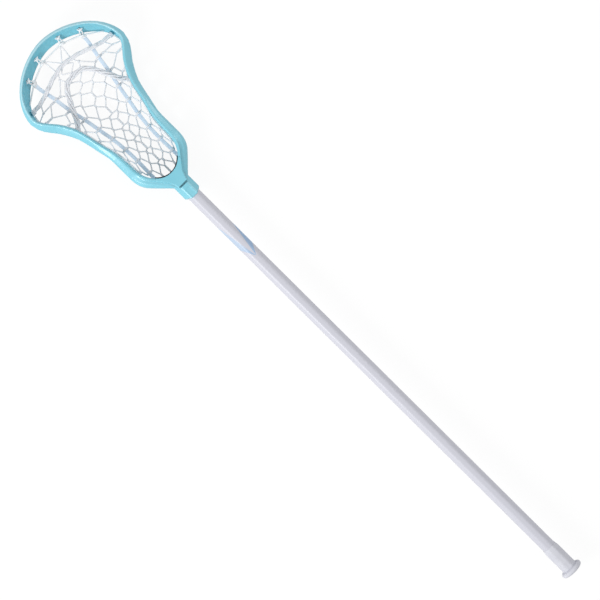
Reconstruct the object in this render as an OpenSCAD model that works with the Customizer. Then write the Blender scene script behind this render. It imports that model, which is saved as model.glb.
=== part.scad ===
// Women's lacrosse stick: a moulded head with a runner pocket, on an octagonal shaft with a rubber butt cap.
// The stick lies face up: +Y points to the scoop, +Z out of the face. Z = 0 is the side rails' lowest point.
// Distances called "from the tip" run back along the stick from the scoop's front edge.

/* [Overall] */
// Length from the scoop's front edge to the end of the butt cap
overall_l = 1092; // [900:1:1100]

/* [Head plan] */
// Width across the widest part of the head
head_w = 191; // [178:1:198]
// Distance from the tip to the widest part
corner_d = 76; // [70:1:82]
// Length of the straight lower sides
straight_l = 28; // [20:1:36]
// Width across the straight lower sides
waist_w = 99.4; // [94:0.2:104]
// Clear width between the straight lower sides
opening_w = 71; // [66:0.5:75]
// Distance from the tip to the end of the opening
opening_end_d = 269.5; // [255:0.5:285]
// Length of the opening's rounded end
opening_round_l = 43.5; // [39:0.5:48]
// Distance from the start of the shoulders to the end of the opening
shoulder_l = 34.7; // [30:0.1:37]
// Radius of the shoulders
shoulder_r = 38; // [32:1:42]
// Angle of the throat's flanks from the long axis, degrees
throat_angle = 43; // [40:1:46]
// Depth of the sloping scoop wall, seen on the face
scoop_wall = 13.3; // [11:0.1:15]
// Width of the side rails, seen on the face
rail_w = 10.5; // [9.5:0.1:12]
// Roundness of the scoop's curve (2 is an ellipse)
scoop_roundness = 1.82; // [1.7:0.02:2]

/* [Head depth] */
// Height of the scoop's lip above the shaft's axis
scoop_top = 16; // [12:0.5:20]
// Depth of the scoop's lower edge below the shaft's axis
scoop_low = 8; // [6:0.5:11]
// Height of the side rails above the shaft's axis
rail_top = 10; // [8:0.5:12]
// Depth of the sidewalls below the shaft's axis
side_low = 28; // [25:0.5:32]
// Height of the throat's front plate above the shaft's axis
plate_top = 14.8; // [14.4:0.1:16]
// How far that plate stands out of the throat's ridges
plate_rise = 0.4; // [0.3:0.1:1]
// Depth of the sloping walls at the plate's sides
plate_wall = 3.2; // [2.4:0.1:4]
// Depth of the throat below the shaft's axis
throat_low = 15.5; // [14.5:0.1:17]
// Height of the rails above and below the sidewalls' windows
rail_h = 12.5; // [11:0.5:14]

/* [Socket] */
// Distance from the end of the opening to the socket's end at its sides
socket_l = 40.5; // [37:0.5:46]
// How far the socket's front and back tongues reach past its sides
tongue_l = 7; // [4:0.5:10]
// Width of the socket across its flats
socket_af = 28.2; // [27.4:0.1:28.6]
// Thickness of the throat between the opening and the socket's bore
throat_t = 8.5; // [6:0.5:12]
// Width of the slot across the front of the socket
slot_w = 2.4; // [1.4:0.1:3]
// Length of that slot
slot_l = 15.6; // [14:0.1:18]
// Depth of that slot
slot_depth = 1.8; // [1:0.1:2]
// Distance from the end of the opening to that slot
slot_gap = 24.5; // [23:0.5:27]
// Distance from that slot to the panel let into the front of the socket
panel_gap = 7; // [5:0.5:9]
// Depth of that panel
panel_depth = 0.5; // [0.3:0.1:0.8]

/* [Windows and string holes] */
// Distance from the widest part of the head to the first window
window_start = 20; // [15:1:30]
// Thickness left between neighbouring sidewall windows
window_rib = 9; // [7:0.5:12]
// Height of the sidewall windows
window_h = 10; // [8:0.5:12]
// Diameter of the string holes
string_hole = 3; // [2.4:0.1:3.4]

/* [Shaft] */
// Width of the shaft across its flats
shaft_af = 21; // [20:0.1:22]
// Wall of the shaft
shaft_wall = 1.6; // [1.2:0.1:2.5]
// How far each corner of the shaft is rounded off
corner_cut = 0.45; // [0.2:0.05:0.6]
// Clearance round the shaft in the socket and in the butt cap
shaft_clear = 0.15; // [0.1:0.05:0.3]

/* [Butt cap] */
// Length of the butt cap
cap_l = 50; // [40:1:60]
// Width of the cap's sleeve across its flats
cap_af = 23.8; // [23.2:0.1:25]
// Diameter of the cap's flange
flange_d = 34.6; // [32:0.2:38]
// Thickness of the flange
flange_t = 7; // [6:0.5:9]
// Thickness of rubber under the shaft's end
cap_floor = 4; // [3:0.5:6]
// Length of the taper at the sleeve's mouth
cap_taper = 7; // [4:0.5:10]

/* [Screw] */
// Distance from the head screw to the end of the socket's sides
screw_back = 8; // [6:0.5:10]
// Diameter of the screw's shank
screw_shank = 4; // [3.5:0.1:4.5]
// Length of the screw's shank
screw_l = 9; // [7:0.5:12]
// Diameter of the screw's head
screw_head = 7.4; // [6.5:0.1:8]
// Height of the screw's head
screw_head_h = 2; // [1.6:0.1:2.6]
// Clearance round the screw's shank
screw_clear = 0.15; // [0.1:0.05:0.3]

/* [Ball stop] */
// Thickness of the foam ball stop
foam_t = 2.2; // [2:0.1:3]
// How far the foam's upper edge lies under the throat's front plate
foam_drop = 11; // [9:0.5:13]
// Height of the foam
foam_h = 13; // [11:0.5:15]
// Half the angle that the foam takes up on the opening's end, degrees
foam_angle = 42; // [34:1:50]

/* [Pocket] */
// Diameter of the net cords
net_cord = 2; // [1.6:0.1:2.2]
// Diameter of the scoop, sidewall and throat laces
lace = 2.4; // [2:0.1:2.6]
// Diameter of the shooting strings
shooting_cord = 5.8; // [5:0.1:6.4]
// Width of the runners
runner_w = 5.4; // [4.8:0.1:6]
// Thickness of the runners
runner_t = 1.6; // [1.2:0.1:1.8]
// Distance between the runners at the scoop
runner_top_w = 100; // [92:1:104]
// Distance between the runners at the throat
runner_low_w = 48; // [44:0.5:52]
// Distance between the rows of the net
net_pitch = 24.5; // [23.8:0.1:25]
// Distance from the tip to the first full row of the net
net_first_d = 121; // [119.5:0.5:122.5]
// Height of the pocket's edge above the lower rails
pocket_edge = 7.5; // [7:0.1:8.5]
// How far the pocket sags between its edges
pocket_sag = 4.6; // [3:0.1:5]
// Clearance between neighbouring strings and to the head
string_clear = 0.3; // [0.2:0.05:0.4]

/* [Hidden] */
$fn = 48;

// The shaft's axis lies this far above the lowest point of the side rails
axis_z = side_low;
tip_y = overall_l / 2;

// Distances from the tip that follow from the sizes above
opening_round_d = opening_end_d - opening_round_l;
flare_end_d = opening_round_d - straight_l;
shoulder_d = opening_end_d - shoulder_l;
bore_end_d = opening_end_d + throat_t;
slot_d = opening_end_d + slot_gap;
socket_end_d = opening_end_d + socket_l;
screw_d = socket_end_d - screw_back;

// Plain helpers
function mix(a, b, t) = a + (b - a) * t;
function clamp(t) = max(0, min(1, t));
function ramp(t) = let(c = clamp(t)) c * c * (3 - 2 * c);
function unit(v) = v / norm(v);
function at(x, d, z) = [x, tip_y - d, z];

// A smooth curve through knots [place, value], level at both ends
function knot_slope(k, i) = i <= 0 || i >= len(k) - 1 ? 0
    : (k[i + 1][1] - k[i - 1][1]) / (k[i + 1][0] - k[i - 1][0]);
function knot_span(k, x, i = 0) = i >= len(k) - 2 || x < k[i + 1][0] ? i : knot_span(k, x, i + 1);
function curve(k, x) = let(i = knot_span(k, x), w = k[i + 1][0] - k[i][0], t = clamp((x - k[i][0]) / w))
    (1 + 2 * t) * pow(1 - t, 2) * k[i][1] + t * pow(1 - t, 2) * w * knot_slope(k, i)
    + t * t * (3 - 2 * t) * k[i + 1][1] - t * t * (1 - t) * w * knot_slope(k, i + 1);

// Outer edge of the head, half of it, as [x, distance from the tip]
scoop_steps = 14;
flank_steps = 15;
waist_steps = 3;
throat_steps = 14;
// Share of the flare that is left, along the flank
flare = [[0, 1], [0.13, 0.872], [0.29, 0.548], [0.475, 0.288], [0.71, 0.135], [1, 0]];
function scoop_edge(a) = [head_w / 2 * pow(sin(a), 2 / scoop_roundness),
                          corner_d * (1 - pow(cos(a), 2 / scoop_roundness))];
function flank_edge(s) = [mix(waist_w, head_w, curve(flare, s)) / 2, mix(corner_d, flare_end_d, s)];
// The throat's outer edge is straight, then a shoulder arc, then a straight flank that ends on the axis
arc_from = 0.2;
arc_to = 0.55;
function shoulder_arc(a) = [waist_w / 2 - shoulder_r * (1 - cos(a)), shoulder_d + shoulder_r * sin(a)];
shoulder_end = shoulder_arc(throat_angle);
throat_apex = [0, shoulder_end[1] + shoulder_end[0] / tan(throat_angle)];
function throat_edge(q) = q < arc_from ? [waist_w / 2, mix(opening_round_d, shoulder_d, q / arc_from)]
    : q < arc_to ? shoulder_arc(throat_angle * (q - arc_from) / (arc_to - arc_from))
    : mix(shoulder_end, throat_apex, (q - arc_to) / (1 - arc_to));
outer_half = concat(
    [for (i = [0 : scoop_steps - 1]) scoop_edge(90 * i / scoop_steps)],
    [for (i = [0 : flank_steps - 1]) flank_edge(i / flank_steps)],
    [for (i = [0 : waist_steps - 1]) [waist_w / 2, mix(flare_end_d, opening_round_d, i / waist_steps)]],
    [for (i = [0 : throat_steps]) throat_edge(i / throat_steps)]);

// Inner edge: the outer edge less the rail's width, then half an ellipse at the throat
waist_rail = (waist_w - opening_w) / 2;
rail_widths = [[0, scoop_wall], [corner_d, rail_w * 0.905], [mix(corner_d, flare_end_d, 0.3), rail_w * 1.06],
               [mix(corner_d, flare_end_d, 0.75), rail_w], [opening_round_d, waist_rail]];
function opening_edge(a, inset = 0) = [(opening_w / 2 - inset) * cos(a),
                                       opening_round_d + (opening_end_d - opening_round_d - inset) * sin(a)];
function mirrored(p) = [-p[0], p[1]];
function inward(i) = let(before = i == 0 ? mirrored(outer_half[1]) : outer_half[i - 1],
                         along = unit(outer_half[i + 1] - before)) [-along[1], along[0]];
rim_count = scoop_steps + flank_steps + waist_steps;
inner_half = concat(
    [for (i = [0 : rim_count - 1]) outer_half[i] + inward(i) * curve(rail_widths, outer_half[i][1])],
    [for (i = [0 : throat_steps]) opening_edge(90 * i / throat_steps)]);
inner_by_distance = [for (p = inner_half) [p[1], p[0]]];
// Half the clear width of the opening at a distance from the tip
function clear_half(d) = lookup(d, inner_by_distance);

// Upper and lower edges of the frame above the ground, by distance from the tip
side_mid_d = mix(corner_d, opening_round_d, 0.6);
throat_top = plate_top - plate_rise;
tops = [[0, scoop_top], [corner_d, mix(scoop_top, rail_top, 0.33)], [side_mid_d, rail_top],
        [opening_round_d, mix(rail_top, throat_top, 0.14)], [opening_end_d, throat_top]];
bottoms = [[0, -scoop_low], [corner_d / 2, -mix(scoop_low, side_low, 0.2)],
           [corner_d, -mix(scoop_low, side_low, 0.55)],
           [mix(corner_d, side_mid_d, 0.5), -mix(scoop_low, side_low, 0.91)], [side_mid_d, -side_low],
           [opening_round_d, -mix(throat_low, side_low, 0.8)],
           [mix(shoulder_d, opening_end_d, 0.36), -mix(throat_low, side_low, 0.2)],
           [opening_end_d, -throat_low]];
function top_z(d) = axis_z + curve(tops, d);
function low_z(d) = axis_z + curve(bottoms, d);

// Cross-sections as [share of the rail from outside to inside, share of the height, offset in rail heights]
side_section = [
    [0, 1, -0.72], [0.05, 1, -0.52], [0.38, 1, -0.224], [0.62, 1, -0.04], [0.74, 1, 0], [0.9, 1, -0.08],
    [1, 1, -0.32], [0.97, 1, -0.64], [0.64, 1, -0.96], [0.64, 0, 0.96], [0.96, 0, 0.72], [1, 0, 0.4],
    [0.85, 0, 0.08], [0.55, 0, 0], [0.2, 0, 0.064], [0, 0, 0.32], [0.05, 0, 0.68], [0.34, 0, 0.96],
    [0.34, 1, -1]];
scoop_section = [
    [0, 1, -0.42], [0.03, 1, -0.3], [0.1, 1, -0.2], [0.2, 1, -0.1], [0.29, 1, -0.02], [0.34, 1, 0],
    [0.37, 1, -0.1], [0.4, 1, -0.32], [0.52, 0.6, 0], [0.72, 0.3, 0], [0.88, 0, 0.32], [0.98, 0, 0.192],
    [1, 0, 0.096], [0.95, 0, 0.024], [0.85, 0, 0], [0.68, 0, 0.048], [0.5, 0, 0.24], [0.3, 0.3, 0],
    [0.1, 0.65, 0]];
waist_section = [
    [0, 1, -0.9], [0.04, 1, -0.62], [0.2, 1, -0.24], [0.6, 1, -0.05], [0.74, 1, 0], [0.9, 1, -0.08],
    [1, 1, -0.32], [0.97, 1, -0.64], [0.64, 1, -0.96], [0.64, 0, 0.96], [0.96, 0, 0.72], [1, 0, 0.4],
    [0.85, 0, 0.08], [0.55, 0, 0], [0.2, 0, 0.064], [0, 0, 0.32], [0.05, 0, 0.68], [0.34, 0, 0.96],
    [0.34, 1, -1.1]];
shoulder_section = [
    [0, 1, -0.95], [0.05, 1, -0.62], [0.3, 1, -0.36], [0.62, 1, -0.26], [0.72, 1, 0], [0.9, 1, -0.03],
    [1, 1, -0.2], [0.98, 1, -0.64], [0.64, 1, -1], [0.64, 0, 0.96], [0.96, 0, 0.72], [1, 0, 0.4],
    [0.85, 0, 0.08], [0.55, 0, 0], [0.2, 0, 0.064], [0, 0, 0.32], [0.05, 0, 0.68], [0.34, 0, 0.96],
    [0.34, 1, -1.1]];
throat_section = [
    [0, 1, -1.04], [0.02, 1, -0.72], [0.1, 1, -0.4], [0.22, 1, -0.28], [0.3, 1, 0], [0.6, 1, 0],
    [0.95, 1, 0], [1, 1, -0.08], [1, 1, -0.48], [1, 0, 0.96], [1, 0, 0.48], [1, 0, 0.12], [0.96, 0, 0.024],
    [0.6, 0, 0], [0.25, 0, 0.04], [0.1, 0, 0.24], [0.03, 0, 0.56], [0, 0, 0.88], [0, 0, 1]];
scoop_share = [for (i = [0 : len(outer_half) - 1]) 1 - ramp((i / scoop_steps - 0.55) / 0.5)];
waist_share = [for (i = [0 : len(outer_half) - 1]) ramp((i - scoop_steps) / flank_steps / 0.4 - 1.5)];
shoulder_share = [for (i = [0 : len(outer_half) - 1]) ramp(((i - rim_count) / throat_steps - 0.1) / 0.4)];
throat_share = [for (i = [0 : len(outer_half) - 1]) ramp(((i - rim_count) / throat_steps - 0.5) / 0.5)];
function rail_point(i, j) = mix(mix(side_section[j], scoop_section[j], scoop_share[i]),
                                waist_section[j], waist_share[i]);
function section_point(i, j) = mix(mix(rail_point(i, j), shoulder_section[j], shoulder_share[i]),
                                   throat_section[j], throat_share[i]);
function frame_point(i, j, side) =
    let(s = section_point(i, j), p = mix(outer_half[i], inner_half[i], s[0]), d = inner_half[i][1],
        z = mix(low_z(d), top_z(d), s[1]) + s[2] * rail_h)
    at(side * p[0], p[1], z);
last = len(outer_half) - 1;
section_n = len(side_section);
frame_points = concat([for (i = [0 : last], j = [0 : section_n - 1]) frame_point(i, j, 1)],
                      [for (i = [last - 1 : -1 : 1], j = [0 : section_n - 1]) frame_point(i, j, -1)]);
ring_n = 2 * last;
function ring_index(i, j) = (i % ring_n) * section_n + j % section_n;
frame_faces = [for (i = [0 : ring_n - 1], j = [0 : section_n - 1], half = [0, 1])
    half == 0 ? [ring_index(i, j), ring_index(i + 1, j), ring_index(i + 1, j + 1)]
              : [ring_index(i, j), ring_index(i + 1, j + 1), ring_index(i, j + 1)]];

// Joins what it holds into one faceted solid, at its own size
module one_solid() {
    resize([0, 0, 0]) union() children();
}

// Octagon with softened corners, across flats
module soft_octagon(across, cut) {
    intersection() {
        rotate(22.5) circle(d = across / cos(22.5), $fn = 8);
        circle(d = across / cos(22.5) - 2 * cut);
    }
}

// Turns a shape drawn in XY, with Y up, and extrudes it along the stick between two distances from the tip
module along_stick(from_d, to_d) {
    translate(at(0, to_d, axis_z)) rotate([-90, 0, 0]) linear_extrude(to_d - from_d) children();
}

// Sidewall windows, as [start, end] from the tip
window_n = 4;
windows_from = corner_d + window_start;
window_step = (opening_round_d + window_rib - windows_from) / window_n;
windows = [for (i = [0 : window_n - 1]) let(start = windows_from + i * window_step)
           [start, start + window_step - window_rib]];
window_r = 0.3 * window_h;
module window(from_d, to_d) {
    mid = (from_d + to_d) / 2;
    z = (top_z(mid) + low_z(mid)) / 2;
    slant = low_z(to_d) - low_z(from_d) + top_z(to_d) - top_z(from_d);
    rotate([90, 0, 90]) linear_extrude(head_w, center = true) hull()
        for (e = [[from_d, -1], [to_d, 1]], s = [-1, 1])
            translate([tip_y - e[0] + e[1] * window_r, z + e[1] * slant / 4 + s * (window_h / 2 - window_r)])
                circle(window_r, $fn = 12);
}

// String holes through the lower rails, at the rows where the side nets are tied, and in the scoop's wall
tie_angles = [17, 40];
hole_rise = 0.36 * rail_h;
module string_holes() {
    for (k = [-1 : net_rows - 2])
        let(d = row_d(k + side_drop))
            translate(at(0, d, low_z(d) + hole_rise)) rotate([0, 90, 0])
                cylinder(h = head_w, d = string_hole, center = true, $fn = 8);
    for (a = tie_angles, side = [-1, 1])
        translate(at(side * tie_foot(a)[0], tie_foot(a)[1], tie_z)) rotate([90, 0, -side * tie_turn(a)])
            cylinder(h = 3 * scoop_wall, d = string_hole, center = true, $fn = 8);
}

module socket_body() {
    intersection() {
        along_stick(opening_end_d + foam_t, socket_end_d + tongue_l) soft_octagon(socket_af, corner_cut);
        translate([0, 0, axis_z - socket_af]) linear_extrude(2 * socket_af)
            polygon([for (p = [[-socket_af / 2, socket_end_d], [-socket_af / 5, socket_end_d + tongue_l],
                               [socket_af / 5, socket_end_d + tongue_l], [socket_af / 2, socket_end_d],
                               [socket_af / 2, opening_end_d], [-socket_af / 2, opening_end_d]])
                     [p[0], tip_y - p[1]]]);
    }
}

// Front plate of the throat, from the opening's end to the slot, as [half width, distance from the tip].
// Its flat top is narrower than its foot.
plate_inset = 0.4;
plate_slope = 1.4;
function plate_half(out) = [[slot_l / 2 - plate_inset + out, slot_d],
                            [socket_af * 0.34 + out, mix(slot_d, opening_end_d, 0.3)],
                            [socket_af * 0.45 + out, mix(slot_d, opening_end_d, 0.62)],
                            [socket_af * 0.68 + out, mix(slot_d, opening_end_d, 0.96)],
                            [socket_af * 0.86 + out, mix(slot_d, opening_end_d, 1.24)]];
plate_back = [for (a = [52 : 4 : 128]) opening_edge(a, -2 * plate_inset)];
function plate_ring(out, z) = let(half = plate_half(out), n = len(half) - 1)
    [for (p = concat(half, plate_back, [for (i = [n : -1 : 0]) mirrored(half[i])])) at(p[0], p[1], z)];
module front_plate() {
    top = plate_ring(0, axis_z + plate_top);
    foot = plate_ring(plate_slope, axis_z + plate_top - plate_wall);
    n = len(top);
    polyhedron(concat(top, foot), concat([[for (i = [n - 1 : -1 : 0]) i]], [[for (i = [0 : n - 1]) n + i]],
        [for (i = [0 : n - 1], half = [0, 1]) let(k = (i + 1) % n)
            half == 0 ? [i, k, n + k] : [i, n + k, n + i]]));
}

module head() {
    color("#74c8dc") one_solid() difference() {
        union() {
            polyhedron(frame_points, frame_faces, convexity = 12);
            socket_body();
            front_plate();
        }
        along_stick(bore_end_d, socket_end_d + tongue_l + 1)
            soft_octagon(shaft_af + 2 * shaft_clear, corner_cut);
        translate(at(0, slot_d, axis_z + socket_af / 2))
            cube([slot_l, slot_w, 2 * slot_depth], center = true);
        translate(at(0, socket_end_d + tongue_l, axis_z + socket_af / 2))
            cube([0.75 * socket_af * tan(22.5), 2 * (socket_end_d + tongue_l - slot_d - panel_gap),
                  2 * panel_depth], center = true);
        translate(at(0, screw_d, axis_z - socket_af))
            cylinder(h = socket_af, d = screw_shank + 2 * screw_clear, $fn = 16);
        for (w = windows) window(w[0], w[1]);
        string_holes();
    }
}

module shaft() {
    color("#dcdde6") difference() {
        along_stick(bore_end_d + shaft_clear, overall_l - cap_floor - shaft_clear)
            soft_octagon(shaft_af, corner_cut);
        along_stick(bore_end_d, overall_l - cap_floor)
            soft_octagon(shaft_af - 2 * shaft_wall, corner_cut);
        translate(at(0, screw_d, axis_z - shaft_af))
            cylinder(h = shaft_af, d = screw_shank + 2 * screw_clear);
    }
}

cap_corner = cap_af / cos(22.5) / 2;
cap_lip = 0.5;
cap_mouth = shaft_af / cos(22.5) / 2 - corner_cut + cap_lip;
module butt_cap() {
    color("#d6d7df") translate([0, -overall_l / 2, axis_z]) rotate([-90, 0, 0]) difference() {
        union() {
            rotate_extrude() {
                square([flange_d / 2 - flange_t / 2, flange_t]);
                translate([flange_d / 2 - flange_t / 2, flange_t / 2]) intersection() {
                    circle(flange_t / 2);
                    translate([0, -flange_t / 2]) square(flange_t);
                }
            }
            intersection() {
                linear_extrude(cap_l) soft_octagon(cap_af, corner_cut);
                rotate_extrude() polygon([[0, 0], [cap_corner, 0], [cap_corner, cap_l - cap_taper],
                                          [cap_mouth, cap_l], [0, cap_l]]);
            }
        }
        translate([0, 0, cap_floor]) linear_extrude(cap_l)
            soft_octagon(shaft_af + 2 * shaft_clear, corner_cut);
    }
}

module head_screw() {
    color("#9a9ca3") translate(at(0, screw_d, axis_z - socket_af / 2 - screw_head_h)) {
        cylinder(h = screw_head_h, d = screw_head);
        cylinder(h = screw_head_h + screw_l, d = screw_shank);
    }
}

module ball_stop() {
    foam_steps = 16;
    angles = [for (i = [0 : foam_steps]) 90 - foam_angle + 2 * foam_angle * i / foam_steps];
    outline = concat([for (a = angles) opening_edge(a, string_clear)],
                     [for (i = [foam_steps : -1 : 0]) opening_edge(angles[i], string_clear + foam_t)]);
    color("#24262a") translate([0, 0, axis_z + plate_top - foam_drop - foam_h]) linear_extrude(foam_h)
        polygon([for (p = outline) [p[0], tip_y - p[1]]]);
}

// Pocket: everything is strung on one sagging surface between the lower rails
throat_pass = runner_t + 2 * string_clear + net_cord / 2;
function round_end(s) = mix(opening_round_d, opening_end_d, s);
under_d = round_end(0.72);
edge_rise = [[0, 0.4 * pocket_edge], [0.6 * corner_d, 0.67 * pocket_edge], [1.05 * corner_d, pocket_edge],
             [round_end(0.05), pocket_edge], [round_end(0.63), -throat_pass]];
function across_sag(x, d) = 1 - pow(clamp(abs(x) / clear_half(d)), 2);
function along_sag(d) = sin(180 * clamp((d - 1.5 * scoop_wall) / (opening_end_d - 1.5 * scoop_wall)));
function net_z(x, d) = low_z(min(d, under_d)) + curve(edge_rise, d)
    - pocket_sag * across_sag(x, d) * along_sag(d);
function on_net(x, d, up = 0) = at(x, d, net_z(x, d) + up);

// A tube of equal sides along points, closed at both ends, as [points, faces]
function bisector(p, i) = unit((i < len(p) - 1 ? unit(p[i + 1] - p[i]) : [0, 0, 0])
                               + (i > 0 ? unit(p[i] - p[i - 1]) : [0, 0, 0]));
function across_of(t) = unit(cross(t, [0, 0, 1]));
function sweep_points(p, section) = [for (i = [0 : len(p) - 1])
    let(t = bisector(p, i), side = across_of(t), up = cross(side, t))
    for (s = section) p[i] + side * s[0] + up * s[1]];
function sweep_faces(rings, n) = concat(
    [for (i = [0 : rings - 2], j = [0 : n - 1], half = [0, 1])
        let(a = i * n + j, b = a + n, c = (i + 1) * n + (j + 1) % n, d = i * n + (j + 1) % n)
        half == 0 ? [a, d, c] : [a, c, b]],
    [for (k = [1 : n - 2]) [0, k + 1, k]],
    [for (k = [1 : n - 2]) [for (q = [0, k, k + 1]) (rings - 1) * n + q]]);
cord_sides = 6;
function round_section(d) = [for (k = [0 : cord_sides - 1])
    let(a = 360 * k / cord_sides) d / 2 * [cos(a), sin(a)]];
module cord(p, d) {
    polyhedron(sweep_points(p, round_section(d)), sweep_faces(len(p), cord_sides), convexity = 4);
}
function strap_section(w, t) = [[w / 2, 0], [w / 2, t], [-w / 2, t], [-w / 2, 0]];
module strap(p, w, t) {
    polyhedron(sweep_points(p, strap_section(w, t)), sweep_faces(len(p), 4), convexity = 4);
}

// Hand-chosen points are percentages of the head's half width and of the distance to its widest part
function plan(p) = [p[0] * head_w / 200, p[1] * corner_d / 100];
function plan_route(points) = [for (p = points) plan(p)];

// A smooth route through points [x, distance from the tip]
function route_at(p, i, t) =
    let(a = p[max(0, i - 1)], b = p[i], c = p[i + 1], e = p[min(len(p) - 1, i + 2)])
    0.5 * (2 * b + (c - a) * t + (2 * a - 5 * b + 4 * c - e) * t * t + (3 * b - a - 3 * c + e) * t * t * t);
function smooth_route(p, steps) = concat(
    [for (i = [0 : len(p) - 2], s = [0 : steps - 1]) route_at(p, i, s / steps)], [p[len(p) - 1]]);
function both_sides(half) = concat([for (i = [len(half) - 1 : -1 : 1]) mirrored(half[i])], half);

// Runners: shares of the spread that is left, along their length
runner_start_d = plan([0, 51])[1];
runner_end_d = round_end(0.92);
runner_steps = 24;
runner_spread = [[0, 1], [0.14, 0.79], [0.25, 0.65], [0.36, 0.44], [0.49, 0.24], [0.59, 0.09], [0.7, 0],
                 [0.8, -0.02], [0.9, 0], [1, 0.02]];
function runner_x(d) = let(s = (d - runner_start_d) / (runner_end_d - runner_start_d))
    mix(runner_low_w, runner_top_w, curve(runner_spread, s)) / 2;
runner_rise = net_cord / 2 + string_clear;
module runner(side) {
    route = [for (i = [0 : runner_steps]) let(d = mix(runner_start_d, runner_end_d, i / runner_steps))
             on_net(side * runner_x(d), d, runner_rise)];
    color("#c3d5e8") strap(route, runner_w, runner_t);
}
module left_runner() {
    runner(-1);
}
module right_runner() {
    runner(1);
}
knot_d = 6;
module runner_knots() {
    end = runner_end_d + string_clear + knot_d / 2;
    color("#c3d5e8") for (side = [-1, 1])
        translate(at(side * runner_x(end), end, low_z(under_d) - string_clear - knot_d / 2))
            sphere(d = knot_d);
}

// Shooting strings lie on the net and climb over the runners
shooting_rise = runner_rise + shooting_cord / 2;
function climb(x, d) = (runner_t + string_clear) * ramp(2 - abs(abs(x) - runner_x(d)) / runner_w);
module shooting_string(half) {
    color("#d9dbe0") cord([for (q = smooth_route(both_sides(half), 2))
                           on_net(q[0], q[1], shooting_rise + climb(q[0], q[1]))], shooting_cord);
}
function shooting_end(d) = [clear_half(d) - shooting_cord / 2, d];
upper_string_end = plan([0, 83])[1];
lower_string_end = plan([0, 167])[1];
module upper_shooting_string() {
    shooting_string(concat(plan_route([[0, 58.2], [20, 62.1], [34.7, 67], [49.4, 74.5], [67.2, 80.3]]),
                           [shooting_end(upper_string_end)]));
}
module lower_shooting_string() {
    shooting_string(concat(plan_route([[0, 86.2], [12.9, 87.9], [20.5, 93.3], [28.2, 105.3], [35.3, 122.4],
                                       [42.5, 140.8], [47.8, 153.9]]),
                           [shooting_end(lower_string_end)]));
}

// Lace under the scoop and the ties that hang it from the scoop's wall
scoop_lace_end = plan([0, 68.4])[1];
scoop_reach = 0.2 * scoop_wall;
function rail_side(d) = [clear_half(d) - lace / 2 - string_clear, d];
module scoop_lace() {
    half = concat(plan_route([[0, 28.4], [17.9, 28.4], [25.2, 30.7], [44.1, 39.9], [52.9, 45.4]]),
                  [rail_side(scoop_lace_end) + [scoop_reach, 0]]);
    color("#d6d9de") cord([for (q = smooth_route(both_sides(half), 2)) on_net(q[0], q[1], lace)], lace);
}
tie_share = 0.62;
tie_z = axis_z + mix(-scoop_low, scoop_top, 0.45);
function scoop_inner(a) = let(o = scoop_edge(a), n = unit(scoop_edge(a + 1) - scoop_edge(a - 1)))
    o + [-n[1], n[0]] * curve(rail_widths, o[1]);
function tie_foot(a) = mix(scoop_edge(a), scoop_inner(a), tie_share);
function tie_turn(a) = let(n = scoop_inner(a) - scoop_edge(a)) atan2(-n[0], n[1]);
module scoop_ties() {
    ends = plan_route([[21.5, 29.2], [52, 44.9]]);
    color("#e4e6ea") for (i = [0, 1], side = [-1, 1])
        let(a = tie_angles[i], foot = tie_foot(a), end = ends[i],
            start = foot + unit(scoop_inner(a) - scoop_edge(a)) * lace)
        cord([at(side * start[0], start[1], tie_z),
              on_net(side * mix(foot[0], end[0], 0.6), mix(foot[1], end[1], 0.6), 2.4 * lace),
              on_net(side * end[0], end[1], 2 * lace + string_clear)], lace);
}

// Net between the runners: rows of cords that cross at A and B and run in pairs down the middle.
// Towards the scoop the crossings lie higher than their rows, and the pairs are shorter.
function row_d(k) = net_first_d + net_pitch * k;
half_row = 0.58;
row_lift = 0.27;
function inner_row(d) = d - row_lift * net_pitch * (1 - ramp(((d - net_first_d) / net_pitch + 0.5) / 1.1));
function a_share(k) = max(0.53, 0.59 - 0.03 * k);
function b_share(k) = max(0.2, 0.275 - 0.025 * k);
function link_half(k) = 7 + 2 * min(0, k);
pair_gap = 0.8;
runner_inset = 0.8;
stub_l = 3.4;
net_rows = round((opening_end_d - net_first_d) / net_pitch);
function r_node(k) = let(d = row_d(k)) [runner_x(d) - runner_inset, d];
function s_node(k) = let(d = row_d(k)) [runner_x(d) - runner_w / 2 - stub_l, d];
function a_node(k) = let(d = inner_row(row_d(k + half_row))) [runner_x(d) * a_share(k), d];
function b_node(k) = let(d = inner_row(row_d(k))) [runner_x(d) * b_share(k), d];
function link_node(k, s) = [pair_gap, inner_row(row_d(k + half_row)) + s * link_half(k)];
net_end_d = opening_end_d - net_cord;
function strand(k) = [if (k >= -1) r_node(k), if (k >= -1) s_node(k), if (k >= -2) a_node(k), b_node(k + 1),
    link_node(k + 1, -1), link_node(k + 1, 1), b_node(k + 2), a_node(k + 2), s_node(k + 3)];
function kept(s) = [for (q = s) if (q[1] < net_end_d - net_cord / 2) q];
function to_throat(s) = let(u = kept(s), e = u[len(u) - 1])
    len(u) < len(s) ? concat(u, [[e[0], net_end_d]]) : u;
module centre_net() {
    color("#d9dee6") one_solid() for (side = [-1, 1], k = [-3 : net_rows - 1])
        cord([for (q = to_throat(strand(k))) on_net(side * q[0], q[1])], net_cord);
}

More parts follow.
